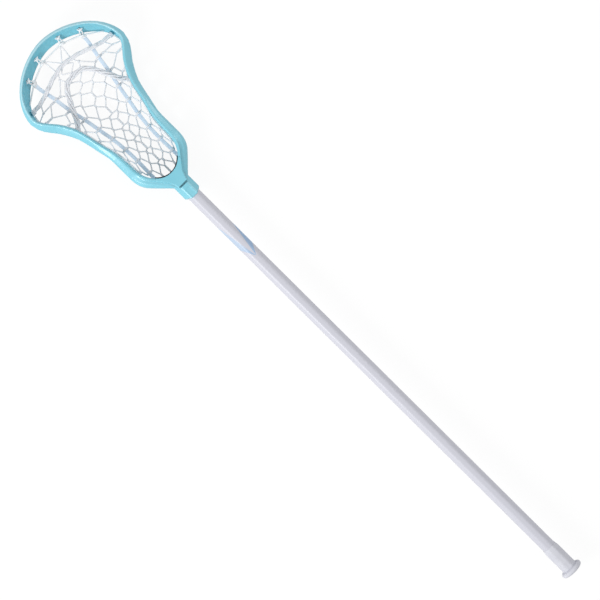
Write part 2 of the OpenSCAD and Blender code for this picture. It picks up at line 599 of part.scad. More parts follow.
// Nets between a runner and its sidewall: a zigzag, held by short ends to the runner and to the rail
side_drop = 0.58;
rail_inset = lace + 2 * string_clear + net_cord / 2;
function side_gap(d) = clear_half(d) - rail_inset - runner_x(d) - runner_w / 2;
function rail_end(k) = let(d = row_d(k + side_drop)) [clear_half(d) - rail_inset, d];
function rail_node(k) = let(d = row_d(k + side_drop)) rail_end(k) - [max(0, 0.45 * (side_gap(d) - 9)), 0];
function runner_end(k) = let(d = row_d(k)) [runner_x(d) + 0.41 * runner_w, d];
function runner_node(k) = let(d = row_d(k)) [runner_x(d) + runner_w / 2 + 1.2 + 0.2 * side_gap(d), d];
module side_cord(side, points) {
    cord([for (q = points) on_net(side * q[0], q[1])], net_cord);
}
module side_net(side) {
    fork = plan([74.5, 95.8]);
    fork_d = plan([0, 103])[1];
    color("#d9dee6") one_solid() {
        side_cord(side, concat([plan([68.3, 82]), fork],
            [for (k = [-2 : net_rows - 1], s = [0, 1]) if (k < net_rows - 1 || s == 0)
                s == 0 ? runner_node(k) : rail_node(k)]));
        side_cord(side, [fork, [clear_half(fork_d) - rail_inset, fork_d]]);
        for (k = [-2 : net_rows - 1]) side_cord(side, [runner_end(k), runner_node(k)]);
        for (k = [-2 : net_rows - 2])
            if (norm(rail_end(k) - rail_node(k)) > net_cord) side_cord(side, [rail_node(k), rail_end(k)]);
    }
}
module left_side_net() {
    side_net(-1);
}
module right_side_net() {
    side_net(1);
}

// Lacing from the scoop lace down to the shooting strings
module crown_net() {
    runner_tie = plan([0, 94.5])[1];
    routes = [[[17.9, 30.9], [15.2, 62.5], [20.6, 73.7], [37.8, 96], [31.3, 102.6]],
              [[16.9, 30.9], [0.84, 52.6], [0.84, 57.2], [13.4, 68.4], [0.84, 78], [0.84, 83.6]],
              [[20.6, 73.7], [15.7, 83.4]]];
    color("#d9dee6") one_solid() for (side = [-1, 1]) {
        for (route = routes) side_cord(side, plan_route(route));
        side_cord(side, [plan([37.8, 96]), [runner_x(runner_tie) - runner_inset, runner_tie]]);
    }
}

// Laces along the inside of the lower rails
lace_steps = 20;
module sidewall_lace(side) {
    from_d = 0.88 * corner_d;
    to_d = round_end(0.25);
    color("#d6d9de") cord([for (i = [0 : lace_steps]) let(d = mix(from_d, to_d, i / lace_steps))
                           on_net(side * rail_side(d)[0], d)], lace);
}
module left_sidewall_lace() {
    sidewall_lace(-1);
}
module right_sidewall_lace() {
    sidewall_lace(1);
}

// Lace across the underside of the throat
module throat_lace() {
    lace_d = opening_end_d + lace / 2;
    lace_reach = runner_x(lace_d) - knot_d / 2 - 2 * string_clear;
    lace_z = low_z(under_d) - string_clear - lace / 2;
    color("#d6d9de") cord([for (x = [-1 : 0.5 : 1]) at(x * lace_reach, lace_d, lace_z)], lace);
}

head();
ball_stop();
head_screw();
shaft();
butt_cap();
left_runner();
right_runner();
upper_shooting_string();
lower_shooting_string();
scoop_lace();
scoop_ties();
crown_net();
centre_net();
left_side_net();
right_side_net();
left_sidewall_lace();
right_sidewall_lace();
throat_lace();
runner_knots();
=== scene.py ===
"""Looks of the lacrosse stick: moulded head, strung runner pocket, painted shaft and rubber cap.

All lengths are in millimetres until a mesh is made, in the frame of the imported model:
+Y to the scoop, +Z out of the face. "d" is a distance back from the scoop's tip.
"""
import math

import bpy
import numpy as np
from mathutils import Matrix, Vector


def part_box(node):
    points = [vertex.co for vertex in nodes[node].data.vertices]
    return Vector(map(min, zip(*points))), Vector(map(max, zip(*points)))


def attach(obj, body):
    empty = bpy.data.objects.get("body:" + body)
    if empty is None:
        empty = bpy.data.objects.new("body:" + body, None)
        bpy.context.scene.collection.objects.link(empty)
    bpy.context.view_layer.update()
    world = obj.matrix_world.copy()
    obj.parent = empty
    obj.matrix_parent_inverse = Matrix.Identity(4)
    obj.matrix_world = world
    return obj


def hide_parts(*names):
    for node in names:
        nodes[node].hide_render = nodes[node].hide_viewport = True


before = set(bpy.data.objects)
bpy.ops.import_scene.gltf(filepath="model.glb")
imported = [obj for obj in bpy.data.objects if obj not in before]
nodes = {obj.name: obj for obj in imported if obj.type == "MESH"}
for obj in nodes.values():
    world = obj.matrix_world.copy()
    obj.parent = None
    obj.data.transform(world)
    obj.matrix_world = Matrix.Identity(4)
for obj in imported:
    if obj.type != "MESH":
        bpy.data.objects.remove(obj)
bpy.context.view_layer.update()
scene = bpy.context.scene
scene.view_settings.view_transform = "Standard"

MM = 0.001

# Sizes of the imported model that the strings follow: the scoop's tip and the height of the shaft's axis
TIP_Y = 546.0
AXIS_Z = 28.0
# Plan of the head: where it is widest, its waist, and the opening with its straight and its round end
HEAD_W, CORNER_D, WAIST_W, OPENING_W = 191.0, 76.0, 99.4, 71.0
OPENING_END, ROUND_L, STRAIGHT_L, SHOULDER_L = 269.5, 43.5, 28.0, 34.7
ROUND_D = OPENING_END - ROUND_L
FLARE_END = ROUND_D - STRAIGHT_L
SHOULDER_D = OPENING_END - SHOULDER_L
SCOOP_WALL, RAIL_W, SCOOP_ROUND = 13.3, 10.5, 1.82
# Rise of the scoop and the throat's plate over the shaft's axis, and reach of the scoop, the sidewalls and
# the throat under it
SCOOP_TOP, PLATE_TOP = 16.0, 14.8
SCOOP_LOW, SIDE_LOW, THROAT_LOW = 8.0, 28.0, 15.5
NET_CORD, LACE, RUNNER_W, RUNNER_T = 2.0, 2.4, 5.4, 1.6
NET_PITCH, NET_FIRST, NET_ROWS = 24.5, 121.0, 6
# Distance between the runners' middles at the throat and at the scoop
RUNNERS_LOW, RUNNERS_TOP = 48.0, 100.0
# The pocket's edge over the frame's lower edge, its sag, and the clearance between pieces
POCKET_EDGE, POCKET_SAG, GAP = 7.5, 4.6, 0.3


def mix(a, b, t):
    return a + (b - a) * t


def clamp(t):
    return max(0.0, min(1.0, t))


def ramp(t):
    """Smooth step from 0 to 1."""
    c = clamp(t)
    return c * c * (3 - 2 * c)


def curve(knots, x):
    """Smooth value at x through knots (place, value), level at both ends."""
    def slope(i):
        if i <= 0 or i >= len(knots) - 1:
            return 0.0
        return (knots[i + 1][1] - knots[i - 1][1]) / (knots[i + 1][0] - knots[i - 1][0])
    i = 0
    while i < len(knots) - 2 and x >= knots[i + 1][0]:
        i += 1
    w = knots[i + 1][0] - knots[i][0]
    t = clamp((x - knots[i][0]) / w)
    return ((1 + 2 * t) * (1 - t) ** 2 * knots[i][1] + t * (1 - t) ** 2 * w * slope(i)
            + t * t * (3 - 2 * t) * knots[i + 1][1] - t * t * (1 - t) * w * slope(i + 1))


# Plan of the head: the flare from the waist to the widest part, and the width of the rails along it
FLARE = [(0, 1), (0.13, 0.872), (0.29, 0.548), (0.475, 0.288), (0.71, 0.135), (1, 0)]
RAIL_WIDTHS = [(0, SCOOP_WALL), (CORNER_D, RAIL_W * 0.905),
               (mix(CORNER_D, FLARE_END, 0.3), RAIL_W * 1.06),
               (mix(CORNER_D, FLARE_END, 0.75), RAIL_W), (ROUND_D, (WAIST_W - OPENING_W) / 2)]


def scoop_edge(a):
    """Outer edge of the scoop as (x, d), at an angle from its tip."""
    a = math.radians(a)
    return np.array([HEAD_W / 2 * math.copysign(abs(math.sin(a)) ** (2 / SCOOP_ROUND), math.sin(a)),
                     CORNER_D * (1 - max(0.0, math.cos(a)) ** (2 / SCOOP_ROUND))])


def scoop_inner(a):
    along = scoop_edge(a + 1) - scoop_edge(a - 1)
    along /= np.linalg.norm(along)
    return scoop_edge(a) + np.array([-along[1], along[0]]) * curve(RAIL_WIDTHS, scoop_edge(a)[1])


def opening_edge(a, inset=0.0):
    """Round end of the opening as (x, d): 0 is its right side and 90 its end."""
    a = math.radians(a)
    return np.array([(OPENING_W / 2 - inset) * math.cos(a), ROUND_D + (ROUND_L - inset) * math.sin(a)])


def inner_edge():
    """Right half of the opening's edge, from the scoop to the throat."""
    outer = [scoop_edge(90 * i / 40) for i in range(40)]
    outer += [np.array([mix(WAIST_W, HEAD_W, curve(FLARE, i / 60)) / 2, mix(CORNER_D, FLARE_END, i / 60)])
              for i in range(60)]
    outer += [np.array([WAIST_W / 2, mix(FLARE_END, ROUND_D, i / 4)]) for i in range(5)]
    inner = []
    for i in range(len(outer) - 1):
        before = outer[i - 1] if i else outer[1] * [-1, 1]
        along = (outer[i + 1] - before) / np.linalg.norm(outer[i + 1] - before)
        inner.append(outer[i] + np.array([-along[1], along[0]]) * curve(RAIL_WIDTHS, outer[i][1]))
    inner += [opening_edge(3 * i) for i in range(31)]
    return np.array(inner)


INNER = inner_edge()


def clear_half(d):
    """Half the clear width of the opening."""
    return float(np.interp(d, INNER[:, 1], INNER[:, 0]))


# Height of the frame's lower edge, and of the pocket that hangs in it
SIDE_MID = mix(CORNER_D, ROUND_D, 0.6)
BOTTOMS = [(0, -SCOOP_LOW), (CORNER_D / 2, -mix(SCOOP_LOW, SIDE_LOW, 0.2)),
           (CORNER_D, -mix(SCOOP_LOW, SIDE_LOW, 0.55)),
           (mix(CORNER_D, SIDE_MID, 0.5), -mix(SCOOP_LOW, SIDE_LOW, 0.91)), (SIDE_MID, -SIDE_LOW),
           (ROUND_D, -mix(THROAT_LOW, SIDE_LOW, 0.8)),
           (mix(SHOULDER_D, OPENING_END, 0.36), -mix(THROAT_LOW, SIDE_LOW, 0.2)),
           (OPENING_END, -THROAT_LOW)]


def round_end(s):
    """A distance within the opening's round end."""
    return mix(ROUND_D, OPENING_END, s)


# Past UNDER_D the pocket runs level under the throat
UNDER_D = round_end(0.72)
EDGE_RISE = [(0, 0.4 * POCKET_EDGE), (0.6 * CORNER_D, 0.67 * POCKET_EDGE), (1.05 * CORNER_D, POCKET_EDGE),
             (round_end(0.05), POCKET_EDGE), (round_end(0.63), -(RUNNER_T + 2 * GAP + NET_CORD / 2))]
NET_START = 1.5 * SCOOP_WALL


def low_z(d):
    return AXIS_Z + curve(BOTTOMS, d)


def net_z(x, d):
    """Height of the net's middle."""
    across = 1 - clamp(abs(x) / max(1e-6, clear_half(d))) ** 2
    along = math.sin(math.pi * clamp((d - NET_START) / (OPENING_END - NET_START)))
    return low_z(min(d, UNDER_D)) + curve(EDGE_RISE, d) - POCKET_SAG * across * along


def at(x, d, z):
    return np.array([x, TIP_Y - d, z])


def on_net(x, d, up=0.0):
    return at(x, d, net_z(x, d) + up)


def plan(px, pd):
    """A point given in per cent of the head's half width and of the distance to its widest part."""
    return np.array([px * HEAD_W / 200, pd * CORNER_D / 100])


# The runners spread from the throat up to the scoop, where their straps start a little before the ties
RUNNER_START, RUNNER_END = plan(0, 51)[1], round_end(0.92)
SPREAD = [(0, 1), (0.14, 0.79), (0.25, 0.65), (0.36, 0.44), (0.49, 0.24), (0.59, 0.09), (0.7, 0),
          (0.8, -0.02), (0.9, 0), (1, 0.02)]
STRAP_START = RUNNER_START - 2.8
RUNNER_RISE = NET_CORD / 2 + GAP


def runner_x(d):
    spread = curve(SPREAD, (d - RUNNER_START) / (RUNNER_END - RUNNER_START))
    return mix(RUNNERS_LOW, RUNNERS_TOP, spread) / 2


def row_d(k):
    """Distance of a row of the net; the parts of a row are fractions."""
    return NET_FIRST + NET_PITCH * k


# Mesh making
def frames(points):
    """Tangent, side and up at every point, turning as little as possible along the way."""
    p = np.asarray(points, float)
    t = np.gradient(p, axis=0)
    t /= np.maximum(np.linalg.norm(t, axis=1, keepdims=True), 1e-9)
    side = np.cross(t[0], (0, 0, 1))
    if np.linalg.norm(side) < 0.1:
        side = np.cross(t[0], (1, 0, 0))
    sides = []
    for d in t:
        side = side - d * np.dot(side, d)
        side /= max(np.linalg.norm(side), 1e-9)
        sides.append(side)
    sides = np.array(sides)
    return p, t, sides, np.cross(sides, t)


def lengths_along(points):
    """Length of the way from the first point to every point."""
    return np.concatenate([[0], np.cumsum(np.linalg.norm(np.diff(points, axis=0), axis=1))])


def bulge(v):
    """Squares a circle up: the outline of a strap with rounded edges."""
    return math.copysign(abs(v) ** 0.45, v)


class Strings:
    """Collects swept cords and straps into one mesh, with UVs: round the cord, and along it in mm."""

    END_SHARE = 0.55
    COIL_STEPS = 14

    def __init__(self):
        self.verts, self.faces, self.uvs = [], [], []

    def sweep(self, points, sections):
        p, _, side, up = frames(points)
        n, base = len(sections[0]), len(self.verts)
        along = lengths_along(p)
        for i in range(len(p)):
            for s in sections[i]:
                self.verts.append((p[i] + side[i] * s[0] + up[i] * s[1]) * MM)
        for i in range(len(p) - 1):
            here, there = base + i * n, base + (i + 1) * n
            for j in range(n):
                k = (j + 1) % n
                self.faces.append([here + j, there + j, there + k, here + k])
                self.uvs += [(j / n, along[i]), (j / n, along[i + 1])]
                self.uvs += [((j + 1) / n, along[i + 1]), ((j + 1) / n, along[i])]
        for end, v in ((0, along[0]), (len(p) - 1, along[-1])):
            ring = [base + end * n + j for j in range(n)]
            self.faces.append(ring if end == 0 else ring[::-1])
            self.uvs += [(0.5, v)] * n

    def cord(self, points, diameter, sides=8):
        """A round cord, drawn in at its two ends."""
        radii = np.full(len(points), diameter / 2)
        radii[[0, -1]] *= self.END_SHARE
        turn = [2 * math.pi * j / sides for j in range(sides)]
        self.sweep(points, [[(r * math.cos(a), r * math.sin(a)) for a in turn] for r in radii])

    def strap(self, points, widths, thick, sides=16):
        """A flat strap, of one width or of one for each point."""
        turn = [2 * math.pi * j / sides for j in range(sides)]
        outline = [(bulge(math.cos(a)), bulge(math.sin(a))) for a in turn]
        widths = np.broadcast_to(widths, (len(points),))
        self.sweep(points, [[(w / 2 * x, thick / 2 * y) for x, y in outline] for w in widths])

    def rope(self, points, diameter, plies, lay, share, flat):
        """Plies laid round each other, each a share of the diameter, in a rope pressed wider than high."""
        p, _, side, up = frames(points)
        along = lengths_along(p)
        wide, high = diameter * (flat - share) / 2, diameter * (1 - share) / 2
        for i in range(plies):
            a = 2 * math.pi * (i / plies + along / lay)
            off = side * (wide * np.cos(a))[:, None] + up * (high * np.sin(a))[:, None]
            self.cord(p + off, diameter * share)

    def coil(self, centre, axis, across, width, height, diameter, turns, step):
        """A hitch: turns of cord round an axis, squeezed to a width and a height."""
        axis = np.asarray(axis, float) / np.linalg.norm(axis)
        across = np.asarray(across, float) - axis * np.dot(across, axis)
        across /= np.linalg.norm(across)
        third = np.cross(axis, across)
        a = np.linspace(0, 2 * math.pi * turns, int(self.COIL_STEPS * turns) + 1)
        loop = across * (width / 2 * np.cos(a))[:, None] + third * (height / 2 * np.sin(a))[:, None]
        rise = axis * (step * (a / (2 * math.pi) - turns / 2))[:, None]
        self.cord(np.asarray(centre) + loop + rise, diameter)

    def build(self, name, material, slot, *cad_nodes):
        mesh = bpy.data.meshes.new(name)
        mesh.from_pydata([tuple(v) for v in self.verts], [], self.faces)
        layer = mesh.uv_layers.new(name="along")
        layer.data.foreach_set("uv", np.array(self.uvs, np.float32).ravel())
        mesh.polygons.foreach_set("use_smooth", [True] * len(mesh.polygons))
        return place(name, mesh, material, slot, *cad_nodes)


def place(name, mesh, material, slot, *cad_nodes):
    """Puts a piece into the scene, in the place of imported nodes."""
    obj = bpy.data.objects.new(name, mesh)
    scene.collection.objects.link(obj)
    mesh.materials.append(material)
    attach(obj, "root")
    if cad_nodes:
        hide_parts(*cad_nodes)
    return obj


def skin(name, rings, flat_rows=0):
    """A closed mesh over rings of points; the last rows and both ends are shaded flat."""
    n, rows = len(rings[0]), len(rings) - 1
    faces = []
    for i in range(rows):
        for j in range(n):
            k = (j + 1) % n
            faces.append((i * n + j, (i + 1) * n + j, (i + 1) * n + k, i * n + k))
    faces.append(range(n))
    faces.append(range((rows + 1) * n - 1, rows * n - 1, -1))
    mesh = bpy.data.meshes.new(name)
    mesh.from_pydata([[v * MM for v in q] for ring in rings for q in ring], [], faces)
    smooth = (rows - flat_rows) * n
    mesh.polygons.foreach_set("use_smooth", [i < smooth for i in range(len(faces))])
    return mesh


def soften(points, radius=3.0, steps=4, spacing=2.5, least=0.05):
    """The same route with its corners rounded and its straights divided."""
    p = [np.asarray(q, float) for q in points]
    out = [p[0]]
    for i in range(1, len(p) - 1):
        a, b = p[i - 1] - p[i], p[i + 1] - p[i]
        la, lb = np.linalg.norm(a), np.linalg.norm(b)
        r = min(radius, 0.45 * la, 0.45 * lb)
        start, end = p[i] + a / la * r, p[i] + b / lb * r
        for s in range(steps + 1):
            t = s / steps
            out.append(start * (1 - t) ** 2 + p[i] * 2 * t * (1 - t) + end * t * t)
    out.append(p[-1])
    full = [out[0]]
    for q in out[1:]:
        gap = np.linalg.norm(q - full[-1])
        if gap < least:
            continue
        parts = max(1, int(gap / spacing))
        start = full[-1]
        full += [start + (q - start) * s / parts for s in range(1, parts + 1)]
    return np.array(full)


def smooth_route(points, steps=8):
    """A Catmull-Rom curve through points."""
    p = [np.asarray(q, float) for q in points]
    p = [2 * p[0] - p[1]] + p + [2 * p[-1] - p[-2]]
    out = []
    for i in range(1, len(p) - 2):
        a, b, c, e = p[i - 1:i + 3]
        for s in range(steps):
            t = s / steps
            squared, cubed = 2 * a - 5 * b + 4 * c - e, 3 * b - a - 3 * c + e
            out.append(0.5 * (2 * b + (c - a) * t + squared * t * t + cubed * t ** 3))
    return np.array(out + [p[-2]])


# Materials; first a Mix node's sockets for colours, its two inputs and its output
MIX_A, MIX_B, MIX_RESULT = 6, 7, 2


def colour(code):
    """sRGB hex to linear RGBA."""
    c = [int(code[i:i + 2], 16) / 255 for i in (1, 3, 5)]
    return [v / 12.92 if v <= 0.04045 else ((v + 0.055) / 1.055) ** 2.4 for v in c] + [1.0]


def cells(size_mm):
    """Texture scale of a pattern whose cells are this many millimetres across."""
    return 1000.0 / size_mm


def add(tree, kind, links=(), values=(), stops=(), **settings):
    """Adds a node: settings on it, values and links on its inputs, a colour ramp's stops (spot, hex)."""
    node = tree.nodes.new(kind)
    for key, value in settings.items():
        setattr(node, key, value)
    for key, value in dict(values).items():
        node.inputs[key].default_value = value
    for key, socket in dict(links).items():
        tree.links.new(socket, node.inputs[key])
    for i, (spot, code) in enumerate(stops):
        stop = node.color_ramp.elements[i] if i < 2 else node.color_ramp.elements.new(1.0)
        stop.position = spot
        stop.color = colour(code)
    return node


def bare_material(name):
    """A material with an empty node tree."""
    m = bpy.data.materials.new(name)
    m.use_nodes = True
    m.node_tree.nodes.clear()
    return m, m.node_tree


# Heights between which a painted highlight on the scoop's crest comes in, and the stretch of Y over which
# it starts
HIGHLIGHT_LOW, HIGHLIGHT_HIGH = 40.4 * MM, 42.8 * MM
HIGHLIGHT_START, HIGHLIGHT_FULL = 430 * MM, 480 * MM


def moulded_nylon():
    """Nylon, injection-moulded: satin turquoise with faint flow marks, and painted shade in slots and
    inside corners.

    The mould is polished over the tops, which glint, and sand-blasted on the walls, which mirror little.
    """
    m, t = bare_material("nylon_injection_moulded")
    where = add(t, "ShaderNodeTexCoord").outputs["Object"]
    flow = add(t, "ShaderNodeTexNoise", {"Vector": where},
               {"Scale": cells(36), "Detail": 3.0, "Roughness": 0.55})
    # The mould's grain is about 0.1 mm; it is drawn coarser, so that it shows
    grain = add(t, "ShaderNodeTexNoise", {"Vector": where},
                {"Scale": cells(0.45), "Detail": 2.0}).outputs["Fac"]
    tone = add(t, "ShaderNodeValToRGB", {"Fac": flow.outputs["Fac"]},
               stops=[(0.3, "#7acadd"), (0.55, "#80cee0"), (0.75, "#86d2e4")])
    # A paler tone is painted on the scoop's crest: a painted highlight along its rim
    xyz = add(t, "ShaderNodeSeparateXYZ", {"Vector": where}).outputs
    high = add(t, "ShaderNodeMapRange", {"Value": xyz["Z"]},
               {"From Min": HIGHLIGHT_LOW, "From Max": HIGHLIGHT_HIGH})
    far = add(t, "ShaderNodeMapRange", {"Value": xyz["Y"]},
              {"From Min": HIGHLIGHT_START, "From Max": HIGHLIGHT_FULL})
    crest = add(t, "ShaderNodeMath", {0: high.outputs["Result"], 1: far.outputs["Result"]},
                operation="MULTIPLY")
    crest_highlight = add(t, "ShaderNodeMix", {"Factor": crest.outputs[0], MIX_A: tone.outputs["Color"]},
               {MIX_B: colour("#b2e6f3")}, data_type="RGBA")
    # Painted shade: the tone darkens to a deep teal in slots and inside corners, where little light reaches
    occlusion = add(t, "ShaderNodeAmbientOcclusion", values={"Distance": 8 * MM}, samples=8, only_local=True)
    clear = add(t, "ShaderNodeMapRange", {"Value": occlusion.outputs["AO"]},
                {"From Min": 0.35, "From Max": 0.97})
    painted_corner_shade = add(t, "ShaderNodeMix", {"Factor": clear.outputs["Result"], MIX_B: crest_highlight.outputs[MIX_RESULT]},
               {MIX_A: colour("#0c3f4d")}, data_type="RGBA")
    facing = add(t, "ShaderNodeSeparateXYZ", {"Vector": add(t, "ShaderNodeNewGeometry").outputs["Normal"]})
    polish = add(t, "ShaderNodeMapRange", {"Value": facing.outputs["Z"]},
                 {"From Min": 0.3, "From Max": 0.65, "To Min": 0.0, "To Max": 1.0})
    rough = add(t, "ShaderNodeMapRange", {"Value": grain}, {"To Min": 0.32, "To Max": 0.46})
    relief = add(t, "ShaderNodeBump", {"Height": grain}, {"Distance": 0.05 * MM, "Strength": 0.5})
    skin = add(t, "ShaderNodeBsdfPrincipled",
               {"Base Color": painted_corner_shade.outputs[MIX_RESULT], "Roughness": rough.outputs["Result"],
                "Coat Weight": polish.outputs["Result"], "Normal": relief.outputs["Normal"]},
               {"IOR": 1.53, "Specular IOR Level": 0.2, "Coat IOR": 1.6, "Coat Roughness": 0.28})
    add(t, "ShaderNodeOutputMaterial", {"Surface": skin.outputs["BSDF"]})
    return m


# The shaft's two painted blades: Y of the point where they meet, of where their outer lines reach the
# shaft's edge, and of their far ends; the point lies a little to the right of the middle
BLADE_POINT, BLADE_EDGE, BLADE_END = 105 * MM, 126.5 * MM, 175 * MM
BLADE_X, BLADE_HALF, BLADE_TIP = 0.9 * MM, 11.4 * MM, 0.4 * MM
FRONT_Z = (AXIS_Z - 2) * MM


def pearl_lacquer():
    """Lacquer, sprayed on drawn aluminium: pearl white with a soft sheen and two plain pale-blue blades."""
    m, t = bare_material("lacquer_pearl_on_aluminium")
    where = add(t, "ShaderNodeTexCoord").outputs["Object"]
    # Pearl flakes are about 0.05 mm; they are drawn coarser, so that they show
    flake = add(t, "ShaderNodeTexVoronoi", {"Vector": where}, {"Scale": cells(0.385)}).outputs["Distance"]
    white = add(t, "ShaderNodeValToRGB", {"Fac": flake}, stops=[(0.0, "#d3d3dd"), (1.0, "#cccdd7")])
    xyz = add(t, "ShaderNodeSeparateXYZ", {"Vector": where}).outputs
    across = add(t, "ShaderNodeMath", {0: xyz["X"]}, {1: BLADE_X}, operation="SUBTRACT").outputs[0]
    side = add(t, "ShaderNodeMath", {0: across}, operation="ABSOLUTE").outputs[0]
    # Each blade lies between two slanted lines, and runs from the point out to the edge
    inner = add(t, "ShaderNodeMapRange", {"Value": xyz["Y"]},
                {"From Min": BLADE_POINT - MM, "From Max": BLADE_END, "To Min": 0.0, "To Max": BLADE_HALF})
    outer = add(t, "ShaderNodeMapRange", {"Value": xyz["Y"]},
                {"From Min": BLADE_POINT, "From Max": BLADE_EDGE,
                 "To Min": BLADE_TIP, "To Max": BLADE_HALF})
    blade = add(t, "ShaderNodeMath", {0: side, 1: inner.outputs["Result"]},
                operation="GREATER_THAN").outputs[0]
    tests = [add(t, "ShaderNodeMath", {0: side, 1: outer.outputs["Result"]}, operation="LESS_THAN"),
             add(t, "ShaderNodeMath", {0: xyz["Z"]}, {1: FRONT_Z}, operation="GREATER_THAN"),
             add(t, "ShaderNodeMath", {0: xyz["Y"]}, {1: BLADE_POINT}, operation="GREATER_THAN"),
             add(t, "ShaderNodeMath", {0: xyz["Y"]}, {1: BLADE_END}, operation="LESS_THAN")]
    for test in tests:
        blade = add(t, "ShaderNodeMath", {0: blade, 1: test.outputs[0]}, operation="MULTIPLY").outputs[0]
    # The right blade is the deeper one, and the left blade deepens towards the point
    right = add(t, "ShaderNodeMath", {0: across}, {1: 0.0}, operation="GREATER_THAN").outputs[0]
    near = add(t, "ShaderNodeMapRange", {"Value": xyz["Y"]},
               {"From Min": BLADE_POINT, "From Max": BLADE_EDGE,
                "To Min": 1.0, "To Max": 0.0}).outputs["Result"]
    deeper = add(t, "ShaderNodeMath", {0: right, 1: near}, operation="MAXIMUM").outputs[0]
    blue = add(t, "ShaderNodeValToRGB", {"Fac": deeper}, stops=[(0.0, "#bacbe0"), (1.0, "#9ebadb")])
    paint = add(t, "ShaderNodeMix",
                {"Factor": blade, MIX_A: white.outputs["Color"], MIX_B: blue.outputs["Color"]},
                data_type="RGBA")
    rough = add(t, "ShaderNodeMapRange", {"Value": flake}, {"To Min": 0.38, "To Max": 0.5})
    # Lacquer pools over the tube's corners, which catch the light as if rounder than the metal
    corner = add(t, "ShaderNodeBevel", values={"Radius": 3.5 * MM}, samples=8)
    relief = add(t, "ShaderNodeBump", {"Height": flake, "Normal": corner.outputs["Normal"]},
                 {"Distance": 0.01 * MM, "Strength": 0.3})
    coat = add(t, "ShaderNodeBsdfPrincipled",
               {"Base Color": paint.outputs[MIX_RESULT], "Roughness": rough.outputs["Result"],
                "Normal": relief.outputs["Normal"]},
               {"IOR": 1.5, "Coat Weight": 0.3, "Coat Roughness": 0.3})
    add(t, "ShaderNodeOutputMaterial", {"Surface": coat.outputs["BSDF"]})
    return m


def moulded_rubber():
    """Rubber, moulded: off-white and dull, with a fine pebble from the mould and painted shade in its
    creases.
    """
    m, t = bare_material("rubber_moulded_matte")
    where = add(t, "ShaderNodeTexCoord").outputs["Object"]
    pebble = add(t, "ShaderNodeTexVoronoi", {"Vector": where}, {"Scale": cells(0.67)}).outputs["Distance"]
    dust = add(t, "ShaderNodeTexNoise", {"Vector": where},
               {"Scale": cells(11), "Detail": 4.0}).outputs["Fac"]
    clean = add(t, "ShaderNodeValToRGB", {"Fac": dust}, stops=[(0.3, "#d2d3dc"), (0.7, "#d9dae2")])
    # Painted shade: the tone darkens where the surface is hemmed in, in creases and at the flange's step
    crease_occlusion = add(t, "ShaderNodeAmbientOcclusion", values={"Distance": 3 * MM}, samples=8, only_local=True)
    unshaded_share = add(t, "ShaderNodeMapRange", {"Value": crease_occlusion.outputs["AO"]},
                   {"From Min": 0.45, "From Max": 0.85})
    tone = add(t, "ShaderNodeMix", {"Factor": unshaded_share.outputs["Result"], MIX_B: clean.outputs["Color"]},
               {MIX_A: colour("#8d8f9e")}, data_type="RGBA")
    rough = add(t, "ShaderNodeMapRange", {"Value": dust}, {"To Min": 0.55, "To Max": 0.72})
    relief = add(t, "ShaderNodeBump", {"Height": pebble}, {"Distance": 0.06 * MM, "Strength": 0.4})
    skin = add(t, "ShaderNodeBsdfPrincipled",
               {"Base Color": tone.outputs[MIX_RESULT], "Roughness": rough.outputs["Result"],
                "Normal": relief.outputs["Normal"]},
               {"IOR": 1.52, "Specular IOR Level": 0.3})
    add(t, "ShaderNodeOutputMaterial", {"Surface": skin.outputs["BSDF"]})
    return m


def cut_foam():
    """Closed-cell foam, cut from a sheet: black and dead matte, with open pinholes."""
    m, t = bare_material("foam_closed_cell_cut")
    where = add(t, "ShaderNodeTexCoord").outputs["Object"]
    pores = add(t, "ShaderNodeTexVoronoi", {"Vector": where}, {"Scale": cells(0.77)}).outputs["Distance"]
    tone = add(t, "ShaderNodeValToRGB", {"Fac": pores}, stops=[(0.1, "#101113"), (0.6, "#2a2b2f")])
    rough = add(t, "ShaderNodeMapRange", {"Value": pores}, {"To Min": 0.85, "To Max": 0.97})
    relief = add(t, "ShaderNodeBump", {"Height": pores}, {"Distance": 0.15 * MM, "Strength": 0.7})
    skin = add(t, "ShaderNodeBsdfPrincipled",
               {"Base Color": tone.outputs["Color"], "Roughness": rough.outputs["Result"],
                "Normal": relief.outputs["Normal"]},
               {"IOR": 1.48, "Specular IOR Level": 0.15})
    add(t, "ShaderNodeOutputMaterial", {"Surface": skin.outputs["BSDF"]})
    return m


def plated_steel():
    """Steel, turned and zinc-plated: a bluish grey metal with a slightly blotched, brushed gloss."""
    m, t = bare_material("steel_zinc_plated")
    where = add(t, "ShaderNodeTexCoord").outputs["Object"]
    marks = add(t, "ShaderNodeTexNoise", {"Vector": where},
                {"Scale": cells(1.1), "Detail": 3.0}).outputs["Fac"]
    tone = add(t, "ShaderNodeValToRGB", {"Fac": marks}, stops=[(0.3, "#8f9197"), (0.7, "#b4b6bb")])
    rough = add(t, "ShaderNodeMapRange", {"Value": marks}, {"To Min": 0.25, "To Max": 0.45})
    relief = add(t, "ShaderNodeBump", {"Height": marks}, {"Distance": 0.02 * MM, "Strength": 0.4})
    plate = add(t, "ShaderNodeBsdfPrincipled",
                {"Base Color": tone.outputs["Color"], "Roughness": rough.outputs["Result"],
                 "Normal": relief.outputs["Normal"]},
                {"Metallic": 1.0})
    add(t, "ShaderNodeOutputMaterial", {"Surface": plate.outputs["BSDF"]})
    return m


